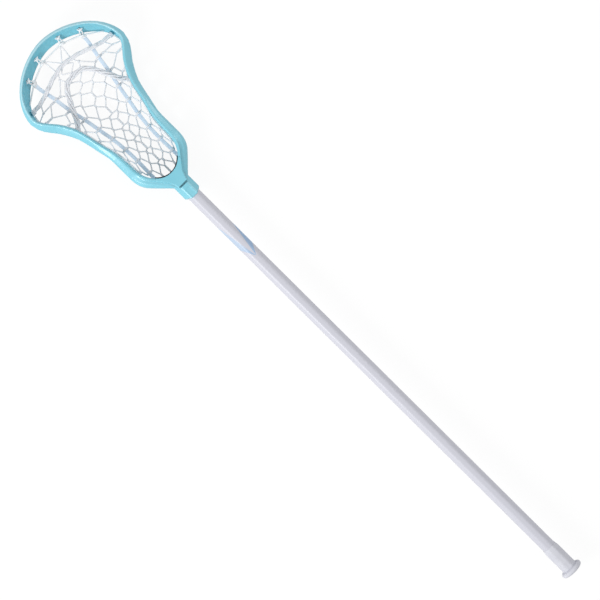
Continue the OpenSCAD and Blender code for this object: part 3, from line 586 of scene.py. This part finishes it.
def embossed_thong():
    """Synthetic leather, embossed polyurethane: pale blue, a soft pebbled grain and a faint cloudy tone."""
    m, t = bare_material("thong_synthetic_leather")
    where = add(t, "ShaderNodeTexCoord").outputs["Object"]
    grain = add(t, "ShaderNodeTexVoronoi", {"Vector": where}, {"Scale": cells(0.9)},
                feature="SMOOTH_F1").outputs["Distance"]
    cloud = add(t, "ShaderNodeTexNoise", {"Vector": where},
                {"Scale": cells(6.25), "Detail": 3.0}).outputs["Fac"]
    tone = add(t, "ShaderNodeValToRGB", {"Fac": cloud}, stops=[(0.3, "#d3e4f6"), (0.7, "#dfedfa")])
    rough = add(t, "ShaderNodeMapRange", {"Value": grain}, {"To Min": 0.5, "To Max": 0.68})
    relief = add(t, "ShaderNodeBump", {"Height": grain}, {"Distance": 0.12 * MM, "Strength": 0.6})
    skin = add(t, "ShaderNodeBsdfPrincipled",
               {"Base Color": tone.outputs["Color"], "Roughness": rough.outputs["Result"],
                "Normal": relief.outputs["Normal"]},
               {"IOR": 1.5, "Specular IOR Level": 0.3, "Sheen Weight": 0.15})
    add(t, "ShaderNodeOutputMaterial", {"Surface": skin.outputs["BSDF"]})
    return m


def braided_nylon(name, pale, dark, carriers, pitch_mm, relief_mm):
    """Nylon, braided: two sets of carriers cross in chevrons round the cord, with painted shade in the gaps
    between.
    """
    m, t = bare_material(name)
    unrolled = add(t, "ShaderNodeUVMap", uv_map="along").outputs["UV"]
    uv = add(t, "ShaderNodeSeparateXYZ", {"Vector": unrolled}).outputs
    turn = add(t, "ShaderNodeMath", {0: uv["X"]}, {1: carriers * 2 * math.pi},
               operation="MULTIPLY").outputs[0]
    along = add(t, "ShaderNodeMath", {0: uv["Y"]}, {1: 2 * math.pi / pitch_mm},
                operation="MULTIPLY").outputs[0]
    waves = []
    for way in ("ADD", "SUBTRACT"):
        phase = add(t, "ShaderNodeMath", {0: turn, 1: along}, operation=way).outputs[0]
        waves.append(add(t, "ShaderNodeMath", {0: phase}, operation="SINE").outputs[0])
    crest = add(t, "ShaderNodeMath", {0: waves[0], 1: waves[1]}, operation="MAXIMUM").outputs[0]
    height = add(t, "ShaderNodeMapRange", {"Value": crest},
                 {"From Min": -1.0, "From Max": 1.0}).outputs["Result"]
    # Single fibres are about 0.03 mm; bundles of them are drawn, so that they show
    where = add(t, "ShaderNodeTexCoord").outputs["Object"]
    fibre = add(t, "ShaderNodeTexNoise", {"Vector": where},
                {"Scale": cells(1.4), "Detail": 3.0}).outputs["Fac"]
    # Painted shade: the gaps between the carriers are darker where the braid's height is low
    shade = add(t, "ShaderNodeMath", {0: height, 1: fibre}, operation="MULTIPLY").outputs[0]
    tone = add(t, "ShaderNodeValToRGB", {"Fac": shade}, stops=[(0.1, dark), (0.5, pale)])
    rough = add(t, "ShaderNodeMapRange", {"Value": fibre}, {"To Min": 0.55, "To Max": 0.8})
    relief = add(t, "ShaderNodeBump", {"Height": height}, {"Distance": relief_mm * MM, "Strength": 0.6})
    yarn = add(t, "ShaderNodeBsdfPrincipled",
               {"Base Color": tone.outputs["Color"], "Roughness": rough.outputs["Result"],
                "Normal": relief.outputs["Normal"]},
               {"IOR": 1.53, "Specular IOR Level": 0.3, "Sheen Weight": 0.2})
    add(t, "ShaderNodeOutputMaterial", {"Surface": yarn.outputs["BSDF"]})
    return m


NYLON, LACQUER, RUBBER = moulded_nylon(), pearl_lacquer(), moulded_rubber()
FOAM, STEEL, THONG = cut_foam(), plated_steel(), embossed_thong()
NET = braided_nylon("cord_braided_nylon_waxed", "#f9fafd", "#e5e9f0",
                    carriers=3, pitch_mm=1.6, relief_mm=0.07)
LACING = braided_nylon("lace_braided_nylon", "#fdfdfe", "#ebedf1",
                       carriers=4, pitch_mm=1.8, relief_mm=0.1)
ROPE = braided_nylon("yarn_laid_nylon_soft", "#f0f1f5", "#e0e2e8",
                     carriers=5, pitch_mm=2.2, relief_mm=0.12)

# Rigid pieces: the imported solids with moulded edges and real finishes
HEAD_VOXEL = 0.45
for name, finish in (("head", NYLON), ("shaft", LACQUER)):
    nodes[name].data.materials.clear()
    nodes[name].data.materials.append(finish)
remesh = nodes["head"].modifiers.new("even", "REMESH")
remesh.mode = "VOXEL"
remesh.voxel_size = HEAD_VOXEL * MM
remesh.use_smooth_shade = True
relax = nodes["head"].modifiers.new("moulded_edges", "SMOOTH")
relax.factor = 0.5
relax.iterations = 2


# Butt cap: an eight-sided rubber sleeve that thins to a fine lip, over a round flange
CAP_HALF, CAP_TAPER, CAP_FLOOR, CORNER_CUT = 11.9, 8.0, 4.0, 0.45
FLANGE_T, FILLET, LIP_HALF, BORE_HALF = 7.0, 0.8, 10.8, 10.62
END_INSET, SLEEVE_OFF, CAP_SIDES = 0.5, 3.0, 96


def cap_rings(cap_l, flange_r):
    """Rings from the butt end to the mouth and back down the bore: (distance, half width, roundness)."""
    rim = FLANGE_T / 2
    core = flange_r - rim
    rings = [(0.0, core - END_INSET, 1.0)]
    for a in np.radians(range(-90, 91, 15)):
        rings.append((rim + rim * math.sin(a), core + rim * math.cos(a), 1.0))
    # A small fillet leads from the flange into the sleeve
    for t in (0.25, 0.5, 0.75, 1.0):
        rings.append((FLANGE_T + FILLET * t ** 4, mix(core, CAP_HALF, 1 - (1 - t) ** 2), 1 - t))
    for d in np.linspace(FLANGE_T + SLEEVE_OFF, cap_l - CAP_TAPER, 8):
        rings.append((d, CAP_HALF, 0.0))
    for t in np.linspace(0.1, 1, 10):
        rings.append((cap_l - CAP_TAPER * (1 - t), mix(CAP_HALF, LIP_HALF, ramp(t)), 0.0))
    return rings + [(cap_l, BORE_HALF, 0.0), (CAP_FLOOR, BORE_HALF, 0.0)]


def eight_sided(half, angle):
    """Radius of an octagon with cut-off corners, half this wide across its flats."""
    step = math.pi / 4
    off = (angle + step / 2) % step - step / 2
    return min(half / math.cos(off), half / math.cos(step / 2) - CORNER_CUT)


def rubber_cap():
    low, high = (np.array(corner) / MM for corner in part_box("butt_cap"))
    turn = [2 * math.pi * j / CAP_SIDES for j in range(CAP_SIDES)]
    rings = []
    for d, half, roundness in cap_rings(high[1] - low[1], (high[0] - low[0]) / 2):
        radii = [mix(eight_sided(half, a), half, roundness) for a in turn]
        rings.append([(r * math.cos(a), low[1] + d, AXIS_Z + r * math.sin(a)) for r, a in zip(radii, turn)])
    # The lip and the bore stay flat, so that the lip's edge is crisp
    place("butt_cap_rubber", skin("butt_cap_rubber", rings, 2), RUBBER, "cap_rubber", "butt_cap")


rubber_cap()

# Ball stop: a cut foam strip with soft edges, stuck to the end of the opening
FOAM_T, FOAM_H, FOAM_DROP, FOAM_ANGLE = 2.2, 13.0, 11.0, 42.0
foam_z = AXIS_Z + PLATE_TOP - FOAM_DROP - FOAM_H / 2
foam_arc = np.linspace(90 - FOAM_ANGLE, 90 + FOAM_ANGLE, 40)
foam_route = [at(*opening_edge(a, GAP + FOAM_T / 2), foam_z) for a in foam_arc]
foam = Strings()
foam.strap(foam_route, FOAM_T, FOAM_H, sides=32)
ball_stop = foam.build("ball_stop_foam", FOAM, "stop_foam", "ball_stop")

# Runners: soft straps, nipped in a little where the net is hitched round them
SIDES = ((-1, "left"), (1, "right"))
HITCH_ROWS = range(-2, NET_ROWS)
NIP_L, NIP_SINK, NIP_SHARE, FULL_SHARE = 2.5, 0.15, 0.12, 1.03


def runner_route(side, steps=150):
    route, widths = [], []
    for i in range(steps + 1):
        d = mix(STRAP_START, RUNNER_END, i / steps)
        nip = max(math.exp(-((d - row_d(k)) / NIP_L) ** 2) for k in HITCH_ROWS)
        route.append(on_net(side * runner_x(d), d, RUNNER_RISE + RUNNER_T / 2 - NIP_SINK * nip))
        widths.append(RUNNER_W * (FULL_SHARE - NIP_SHARE * nip))
    return route, widths


for side, label in SIDES:
    strap = Strings()
    strap.strap(*runner_route(side), RUNNER_T)
    strap.build(f"runner_{label}", THONG, "runner_strap", f"{label}_runner")

# Knots at the runners' ends, under the throat: a trefoil with a short tail
KNOT_OFF, KNOT_CORD, KNOT_R, KNOT_H = 3.0, 2.3, 0.7, 1.1
knots = Strings()
for side in (-1, 1):
    d = RUNNER_END + GAP + KNOT_OFF
    knot = at(side * runner_x(d), d, low_z(UNDER_D) - GAP - KNOT_OFF)
    a = np.linspace(0, 2 * math.pi, 61)
    trefoil = np.stack([(np.sin(a) + 2 * np.sin(2 * a)) * KNOT_R, (np.cos(a) - 2 * np.cos(2 * a)) * KNOT_R,
                        -np.sin(3 * a) * KNOT_H], 1)
    tail = [(0, 1.5, 0), (-side * 2.5, -2.5, -0.6), (-side * 6.5, -5.0, -0.8)]
    knots.cord(knot + trefoil, KNOT_CORD)
    knots.cord(smooth_route([knot + q for q in tail]), KNOT_CORD)
knots.build("runner_knots_tied", THONG, "runner_strap", "runner_knots")


# Centre net: strands cross with a twist at each node and run twisted in pairs down the middle
HALF_ROW, ROW_LIFT, STUB = 0.58, 0.27, 3.4
NET_END = OPENING_END - NET_CORD
TWIST_R, TWIST_L = 0.75, 4.6
CORD = NET_CORD * 0.97
# Half the distance between paired cords, and how far short of a runner's middle line their ends stop
PAIR, TUCK = 0.8, 1.5
ACROSS, ALONG, UP = (1, 0, 0), (0, 1, 0), (0, 0, 1)


def inner_row(d):
    """Towards the scoop the crossings lie higher than their rows."""
    return d - ROW_LIFT * NET_PITCH * (1 - ramp(((d - NET_FIRST) / NET_PITCH + 0.5) / 1.1))


def stub_node(k):
    """Where two strands part beside a runner."""
    return np.array([runner_x(row_d(k)) - RUNNER_W / 2 - STUB, row_d(k)])


def a_node(k):
    """Crossing half-way between a runner and the middle, which draws in towards the throat."""
    d = inner_row(row_d(k + HALF_ROW))
    return np.array([runner_x(d) * max(0.53, 0.59 - 0.03 * k), d])


def b_node(k):
    """Crossing beside the middle."""
    d = inner_row(row_d(k))
    return np.array([runner_x(d) * max(0.2, 0.275 - 0.025 * k), d])


def link_node(k):
    """Middle of the stretch where the left and the right strand run twisted together."""
    return np.array([0.0, inner_row(row_d(k + HALF_ROW))])


def link_half(k):
    """Half the length of that stretch, shorter towards the scoop."""
    return 7.0 + 2.0 * min(0, k)


def twist(side, x, d, length, first, last):
    """Points of one cord that winds round another: angles in half turns."""
    n = max(6, int(8 * abs(last - first)))
    out = []
    for i in range(n + 1):
        a = math.pi * mix(first, last, i / n)
        q = d + length * (i / n - 0.5)
        px = side * (x + TWIST_R * math.cos(a))
        out.append(at(px, q, net_z(side * x, q) + side * TWIST_R * math.sin(a)))
    return out


def to_runner(side, k, shift):
    """From a runner's underside to the node beside it; two cords share the way, one behind the other."""
    x, d = stub_node(k)
    return [on_net(side * (runner_x(d) - TUCK), d + shift, 0.2),
            on_net(side * (x + 1.2), d + shift * 0.9, 0.4), on_net(side * x, d + shift * 0.6)]


def strand(k, side):
    """From a runner in to the middle, down along it and out to the runner again."""
    steps = [("in", a_node(k))] if k >= -2 else []
    steps += [("in", b_node(k + 1)), ("link", link_node(k + 1)), ("out", b_node(k + 2))]
    steps += [("out", a_node(k + 2)), ("end", stub_node(k + 3))]
    pts = to_runner(side, k, PAIR) if k >= -1 else []
    for kind, (x, d) in steps:
        half = link_half(k + 1) if kind == "link" else TWIST_L / 2
        if d + half > NET_END - 1:
            pts.append(on_net(pts[-1][0] * 0.96, NET_END))
            break
        if kind == "end":
            pts += to_runner(side, k + 3, -PAIR)[::-1]
        elif kind == "in":
            pts += twist(side, x, d, TWIST_L, 0, 3)
        elif kind == "out":
            pts += twist(side, x, d, TWIST_L, 1, 4)
        else:
            pts += twist(side, x, d, 2 * half, 0, 4 if half > 4 else 2)
    return pts


def hitch_on_runner(strings, side, d):
    """Two turns of net cord round a runner."""
    c = on_net(side * runner_x(d), d, RUNNER_RISE + RUNNER_T / 2)
    before, after = (on_net(side * runner_x(q), q, RUNNER_RISE) for q in (d - 2, d + 2))
    strings.coil(c, after - before, ACROSS, width=RUNNER_W * 0.94 + 1.7, height=RUNNER_T + 1.9,
                 diameter=1.8, turns=2.0, step=1.9)


centre = Strings()
for side in (-1, 1):
    for k in range(-3, NET_ROWS):
        centre.cord(soften(strand(k, side), 1.2), CORD)
    for k in range(-1, NET_ROWS):
        hitch_on_runner(centre, side, row_d(k))
centre.build("net_centre", NET, "net_cord", "centre_net")

# Side nets: zigzags held to the runners and to the sidewall laces by short doubled ends
SIDE_DROP = 0.58
RAIL_INSET, HITCH_INSET, RAIL_PAIR = LACE + 2 * GAP + NET_CORD / 2, 1.9, 0.7
# In a gap wider than WIDE_GAP the zigzag stands off from the sidewall by a share of the rest
WIDE_GAP, RAIL_SHARE = 9, 0.45
RUNNER_OFF, RUNNER_SHARE = 1.2, 0.2
SIDE_START, FORK, FORK_END = plan(68.3, 82), plan(74.5, 95.8), plan(0, 103)[1]


def side_gap(d):
    """Free width between a runner and the sidewall lace."""
    return clear_half(d) - RAIL_INSET - runner_x(d) - RUNNER_W / 2


def rail_end(k, inset=RAIL_INSET):
    d = row_d(k + SIDE_DROP)
    return np.array([clear_half(d) - inset, d])


def rail_node(k):
    """Turn of the zigzag at the sidewall."""
    return rail_end(k) - (max(0.0, RAIL_SHARE * (side_gap(row_d(k + SIDE_DROP)) - WIDE_GAP)), 0)


def runner_node(k):
    """Turn of the zigzag at the runner."""
    d = row_d(k)
    return np.array([runner_x(d) + RUNNER_W / 2 + RUNNER_OFF + RUNNER_SHARE * side_gap(d), d])


def lay(strings, side, points, radius=2.2):
    """Lays a cord on the pocket's surface, through points (x, d) or (x, d, rise)."""
    strings.cord(soften([on_net(side * q[0], *q[1:]) for q in points], radius), CORD)


def side_net(side, label):
    net = Strings()
    turns = [q for k in HITCH_ROWS for q in (runner_node(k), rail_node(k))]
    lay(net, side, [SIDE_START, FORK] + turns[:-1])
    lay(net, side, [FORK, (clear_half(FORK_END) - 2.0, FORK_END)])
    net.coil(on_net(side * FORK[0], FORK[1]), (side * 0.5, 1, 0), ACROSS, width=3.4, height=3.2,
             diameter=1.6, turns=1.5, step=1.5)
    for k in HITCH_ROWS:
        x, d = runner_node(k)
        for shift in (-PAIR, PAIR):
            lay(net, side, [(x + 0.6, d + shift * 0.3), (x - 1.2, d + shift, 0.4),
                            (runner_x(d) + TUCK, d + shift, 0.2)])
    for k in HITCH_ROWS[:-1]:
        x, d = rail_node(k)
        rail_x, rail_d = rail_end(k, HITCH_INSET)
        for shift in (-RAIL_PAIR, RAIL_PAIR):
            ends = [(x - 0.4, d + shift * 0.3), (x + 1.0, d + shift), (rail_x, rail_d + shift)]
            lay(net, side, ends, 1.0)
        net.coil(on_net(side * rail_x, rail_d), ALONG, ACROSS, width=LACE + 2.0, height=LACE + 1.8,
                 diameter=1.7, turns=2.0, step=1.9)
    hitch_on_runner(net, side, row_d(HITCH_ROWS[0]))
    net.build(f"net_{label}_side", NET, "net_cord", f"{label}_side_net")


for side, label in SIDES:
    side_net(side, label)

# Crown net: lacing from the scoop lace down to the shooting strings, with knots where it forks
CROWN_FORK, CROWN_CORNER = (20.6, 73.7), (37.8, 96)
CROWN = [[(17.9, 29.5), (15.2, 62.5), CROWN_FORK, CROWN_CORNER, (31.3, 102.6)],
         [(16.9, 29.5), (0.84, 52.6), (0.84, 57.2), (13.4, 68.4), (0.84, 78), (0.84, 83.6)],
         [CROWN_FORK, (15.7, 83.4)]]
CROWN_TIE, CROWN_MIDDLE = plan(0, 94.5)[1], (54.9, 80.8)
crown = Strings()
for side in (-1, 1):
    for route in CROWN:
        lay(crown, side, [plan(*q) for q in route], 2.5)
    x, d = plan(*CROWN_CORNER)
    for shift in (-PAIR, PAIR):
        lay(crown, side, [(x, d), (x + 2.0, d + shift), (runner_x(CROWN_TIE) - TUCK, CROWN_TIE + shift)])
    for x, d in (plan(*CROWN_FORK), plan(*CROWN_CORNER)):
        crown.coil(on_net(side * x, d), (-side * 0.6, 1, 0), ACROSS, width=3.4, height=3.2,
                   diameter=1.6, turns=1.5, step=1.6)
for share in CROWN_MIDDLE:
    crown.coil(on_net(*plan(0, share)), ALONG, ACROSS, width=3.6, height=3.2,
               diameter=1.6, turns=2.0, step=1.7)
crown.build("net_crown", NET, "net_cord", "crown_net")

# Shooting strings: soft laid ropes over the net, hitched to the rails
SHOOT, SHOOT_LOOSE = 5.8, 1.04
SHOOT_RISE = RUNNER_RISE + SHOOT / 2
END_HITCH = 3
UPPER = [(0, 58.2), (20, 62.1), (34.7, 67), (49.4, 74.5), (67.2, 80.3)]
LOWER = [(0, 86.2), (12.9, 87.9), (20.5, 93.3), (28.2, 105.3), (35.3, 122.4), (42.5, 140.8), (47.8, 153.9)]


def whole(half):
    """A route over both sides, from its right half."""
    return [q * (-1, 1) for q in half[:0:-1]] + half


def climb(x, d):
    """Rise of a shooting string where it crosses a runner."""
    return (RUNNER_T + GAP) * ramp(2 - abs(abs(x) - runner_x(d)) / RUNNER_W)


def shooting_string(name, half, end_d, cad_node, **laid):
    route = whole([plan(*q) for q in half] + [np.array([clear_half(end_d) + 0.6, end_d])])
    line = [on_net(x, d, SHOOT_RISE + climb(x, d)) for x, d in smooth_route(route, 20)]
    rope = Strings()
    rope.rope(line, SHOOT * SHOOT_LOOSE, **laid)
    p, t, _, _ = frames(line)
    for end in (END_HITCH, len(p) - 1 - END_HITCH):
        rope.coil(p[end], t[end], UP, width=SHOOT + 1.0, height=SHOOT + 1.0,
                  diameter=1.9, turns=2.5, step=1.9)
    rope.build(name, ROPE, "shooting_cord", cad_node)


shooting_string("shooting_string_upper", UPPER, plan(0, 83)[1], "upper_shooting_string",
                plies=3, lay=52.0, share=0.58, flat=1.15)
shooting_string("shooting_string_lower", LOWER, plan(0, 167)[1], "lower_shooting_string",
                plies=4, lay=60.0, share=0.54, flat=1.4)

# Scoop lace, tucked into the scoop's wall at both ends
SCOOP_LACE = [(0, 28.4), (17.9, 28.4), (25.2, 30.7), (44.1, 39.9), (52.9, 45.4)]
LACE_END, LACE_TUCK = plan(0, 68.4)[1], 0.2 * SCOOP_WALL
half = [plan(*q) for q in SCOOP_LACE]
half.append(np.array([clear_half(LACE_END) - LACE / 2 - GAP + LACE_TUCK, LACE_END]))
lace = Strings()
lace.cord([on_net(x, d, LACE) for x, d in smooth_route(whole(half))], LACE)
lace.build("scoop_lace_strung", LACING, "lace_cord", "scoop_lace")

# Ties that hang the lace from the scoop's wall: angle round the scoop, and foot on the lace
TIES = ((17, plan(21.5, 29.2)), (40, plan(52, 44.9)))
TIE_SHARE, TIE_STAND, TIE_BOW = 0.62, 1.6, 0.6
TIE_CORD, TAIL_CORD = 2.0, 1.9
TIE_Z = AXIS_Z + mix(-SCOOP_LOW, SCOOP_TOP, 0.45)


def scoop_tie(ties, angle, end, side):
    """Two legs of a loop, a knot with two loose tails against the wall and a hitch round the lace.

    Gives back the way the tie runs and the way across it.
    """
    outer, inner = scoop_edge(angle), scoop_inner(angle)
    foot = mix(outer, inner, TIE_SHARE)
    start = foot + (inner - outer) / np.linalg.norm(inner - outer) * TIE_STAND
    bow = mix(foot, end, TIE_BOW)
    top = at(side * start[0], start[1], TIE_Z)
    middle = on_net(side * bow[0], bow[1], 2.6 * LACE)
    low = on_net(side * end[0], end[1], 1.6 * LACE)
    run = (low - top) / np.linalg.norm(low - top)
    wide = np.cross(run, UP)
    wide /= np.linalg.norm(wide)
    face = np.cross(wide, run)
    for s in (-1, 1):
        leg = [top + wide * s * 0.8, middle + wide * s * 2.0, low + wide * s * 1.2]
        tail = [top + face * 1.4, top + face * 2.3 + wide * s * 2.0 - run * 0.8,
                top + face * 1.5 + wide * s * 4.4 - run * 1.6]
        ties.cord(smooth_route(leg), TIE_CORD)
        ties.cord(smooth_route(tail, 6), TAIL_CORD)
    ties.coil(top + face * 0.9, run, wide, width=4.2, height=3.4, diameter=1.9, turns=2.0, step=1.6)
    ties.coil(low, run, wide, width=LACE + 4.0, height=LACE + 2.8, diameter=2.1, turns=2.6, step=1.8)
    return run, wide


ties = Strings()
for tie in TIES:
    for side in (-1, 1):
        run, wide = scoop_tie(ties, *tie, side)
        if tie is TIES[-1]:
            # The outer ties also hold the runners' upper ends
            d = STRAP_START + 1.2
            held = on_net(side * runner_x(d), d, RUNNER_RISE + RUNNER_T / 2)
            ties.coil(held, run, wide, width=RUNNER_W + 1.6, height=RUNNER_T + 2.0,
                      diameter=1.9, turns=1.5, step=1.2)
ties.build("scoop_ties_knotted", LACING, "lace_cord", "scoop_ties")

# Sidewall laces, stitched through the lower rails
WALL_START, WALL_END, STITCH_CORD = 0.88 * CORNER_D, round_end(0.25), 2.0
for side, label in SIDES:
    wall = Strings()
    stretch = np.linspace(WALL_START, WALL_END, 90)
    wall.cord([on_net(side * (clear_half(d) - LACE / 2 - GAP), d) for d in stretch], LACE)
    for k in range(-1, NET_ROWS - 1):
        d = row_d(k + SIDE_DROP)
        x = clear_half(d)
        stitch = [on_net(side * (x - 1.5), d - 2.5, 0.3), at(side * (x - 0.6), d - 0.8, low_z(d) + 6.0),
                  at(side * (x + 2.5), d, low_z(d) + 4.5)]
        wall.cord(smooth_route(stitch, 6), STITCH_CORD)
    wall.build(f"sidewall_lace_{label}", LACING, "lace_cord", f"{label}_sidewall_lace")

# Throat lace, with the ends of the net looped round it
NET_LOOPS, RUNNER_CLEAR = (-11.5, -5.0, 0.0, 5.0, 11.5), 3.6
lace_d = OPENING_END + LACE / 2
lace_z = low_z(UNDER_D) - GAP - LACE / 2
reach = runner_x(lace_d) - RUNNER_CLEAR
throat = Strings()
throat.cord([at(x, lace_d, lace_z) for x in np.linspace(-reach, reach, 40)], LACE)
for x in NET_LOOPS:
    throat.coil(at(x, lace_d, lace_z), ACROSS, ALONG, width=LACE + 1.8, height=LACE + 1.6,
                diameter=1.7, turns=2.0, step=1.9)
throat.build("throat_lace_strung", LACING, "lace_cord", "throat_lace")


# Head screw: a domed head with a cross recess, under the socket
SCREW_D, SEAT_DROP = 302.0, 14.1
DOME_R, DOME_H, DOME_FALL, POINT_R = 2.6, 2.0, 0.25, 0.05
RECESS_R, RECESS_HALF, RECESS_DEPTH, RECESS_EDGE = 2.3, 0.5, 0.9, 0.1
SCREW_SIDES = 96
# After the dome: the head's rounded edge, its underside and the shank, as (radius, height over the seat)
SCREW_PROFILE = [(3.3, -1.3), (3.65, -0.7), (3.7, -0.15), (3.6, 0.0), (2.0, 0.0), (2.0, 8.4), (1.6, 9.0),
                 (POINT_R, 9.0)]


def recess(x, y):
    """Depth of the cross at a place on the dome."""
    bar = ramp((RECESS_HALF + RECESS_EDGE - min(abs(x), abs(y))) / (2 * RECESS_EDGE))
    return RECESS_DEPTH * bar * ramp((RECESS_R + RECESS_EDGE - math.hypot(x, y)) / (2 * RECESS_EDGE))


def screw():
    dome = [(r, DOME_FALL * (r / DOME_R) ** 2 - DOME_H) for r in np.linspace(POINT_R, DOME_R, 22)]
    rings = []
    for r, z in dome + SCREW_PROFILE:
        ring = []
        for a in np.linspace(0, -2 * math.pi, SCREW_SIDES, endpoint=False):
            x, y = r * math.cos(a), r * math.sin(a)
            sink = recess(x, y) if r <= DOME_R and z < 0 else 0.0
            ring.append((x, TIP_Y - SCREW_D + y, AXIS_Z - SEAT_DROP + z + sink))
        rings.append(ring)
    place("head_screw_domed", skin("head_screw_domed", rings), STEEL, "screw_steel", "head_screw")


screw()

# Stage: white paper that keeps a faint shadow, an even sky and two softboxes
SEEN_RAYS = ("Is Camera Ray", "Is Glossy Ray", "Is Transmission Ray")
PAPER_M, PAPER_Z, SOFTBOX_M = 12.0, -0.5, 0.9


def paper_floor():
    """White where it is seen, with a faint shadow, and light grey where it sends light back."""
    bpy.ops.mesh.primitive_plane_add(size=PAPER_M, location=(0, 0, PAPER_Z * MM))
    floor = bpy.context.object
    floor.name = "floor"
    m, t = bare_material("floor_white_paper")
    rays = add(t, "ShaderNodeLightPath").outputs
    seen = rays[SEEN_RAYS[0]]
    for ray in SEEN_RAYS[1:]:
        seen = add(t, "ShaderNodeMath", {0: seen, 1: rays[ray]}, operation="MAXIMUM").outputs[0]
    paper = add(t, "ShaderNodeBsdfDiffuse", values={"Color": colour("#cccccc")})
    shadow = add(t, "ShaderNodeBsdfDiffuse", values={"Color": colour("#616161")})
    glow = add(t, "ShaderNodeEmission", values={"Color": colour("#ffffff"), "Strength": 0.9})
    white = add(t, "ShaderNodeAddShader", {0: shadow.outputs[0], 1: glow.outputs[0]})
    either = add(t, "ShaderNodeMixShader", {0: seen, 1: paper.outputs[0], 2: white.outputs[0]})
    add(t, "ShaderNodeOutputMaterial", {"Surface": either.outputs[0]})
    floor.data.materials.append(m)


def even_sky():
    """Lights evenly from above and from the left, and less from low on the right."""
    scene.world = bpy.data.worlds.new("even_sky")
    scene.world.use_nodes = True
    t = scene.world.node_tree
    t.nodes.clear()
    rays = add(t, "ShaderNodeLightPath").outputs
    where = add(t, "ShaderNodeTexCoord").outputs["Generated"]
    way = add(t, "ShaderNodeSeparateXYZ", {"Vector": where}).outputs
    low_right = add(t, "ShaderNodeMath", {0: way["Z"], 2: way["X"]}, {1: -0.8}, operation="MULTIPLY_ADD")
    level = add(t, "ShaderNodeMapRange", {"Value": low_right.outputs[0]},
                {"From Min": 0.3, "From Max": 0.9, "To Min": 0.63, "To Max": 0.2}).outputs["Result"]
    for ray in SEEN_RAYS:
        level = add(t, "ShaderNodeMath", {0: level, 1: rays[ray]}, operation="MAXIMUM").outputs[0]
    sky = add(t, "ShaderNodeBackground", {"Strength": level}, {"Color": colour("#ffffff")})
    add(t, "ShaderNodeOutputWorld", {"Surface": sky.outputs["Background"]})


def softbox(name, watts, place_m):
    """A square lamp beside the stick that looks down at it."""
    light = bpy.data.lights.new(name, "AREA")
    light.energy = watts
    light.size = SOFTBOX_M
    lamp = bpy.data.objects.new(name, light)
    scene.collection.objects.link(lamp)
    lamp.location = place_m
    lamp.rotation_euler = (Vector((0, place_m[1], 0)) - lamp.location).to_track_quat("-Z", "Y").to_euler()


paper_floor()
even_sky()
softbox("key", 27.0, (-1.85, 0.1, 1.2))
softbox("fill", 8.0, (1.9, 0.3, 1.2))

# Camera: straight above, turned so that the stick lies on the picture's diagonal
CAMERA_H, CENTRE_X, CENTRE_Y = 2200.0, -0.4, 14.05
MM_PER_PX, PICTURE_PX, SENSOR = 1.4567, 600, 36.0
DIAGONAL = (0.7098, 0.7044)
camera = bpy.data.objects.new("camera", bpy.data.cameras.new("camera"))
scene.collection.objects.link(camera)
right = Vector((DIAGONAL[1], -DIAGONAL[0], 0)).normalized()
up = Vector((*DIAGONAL, 0)).normalized()
turned = Matrix((right, up, right.cross(up))).transposed().to_4x4()
camera.matrix_world = Matrix.Translation((CENTRE_X * MM, CENTRE_Y * MM, (AXIS_Z + CAMERA_H) * MM)) @ turned
camera.data.sensor_width = SENSOR
camera.data.lens = SENSOR * CAMERA_H / (PICTURE_PX * MM_PER_PX)
scene.camera = camera
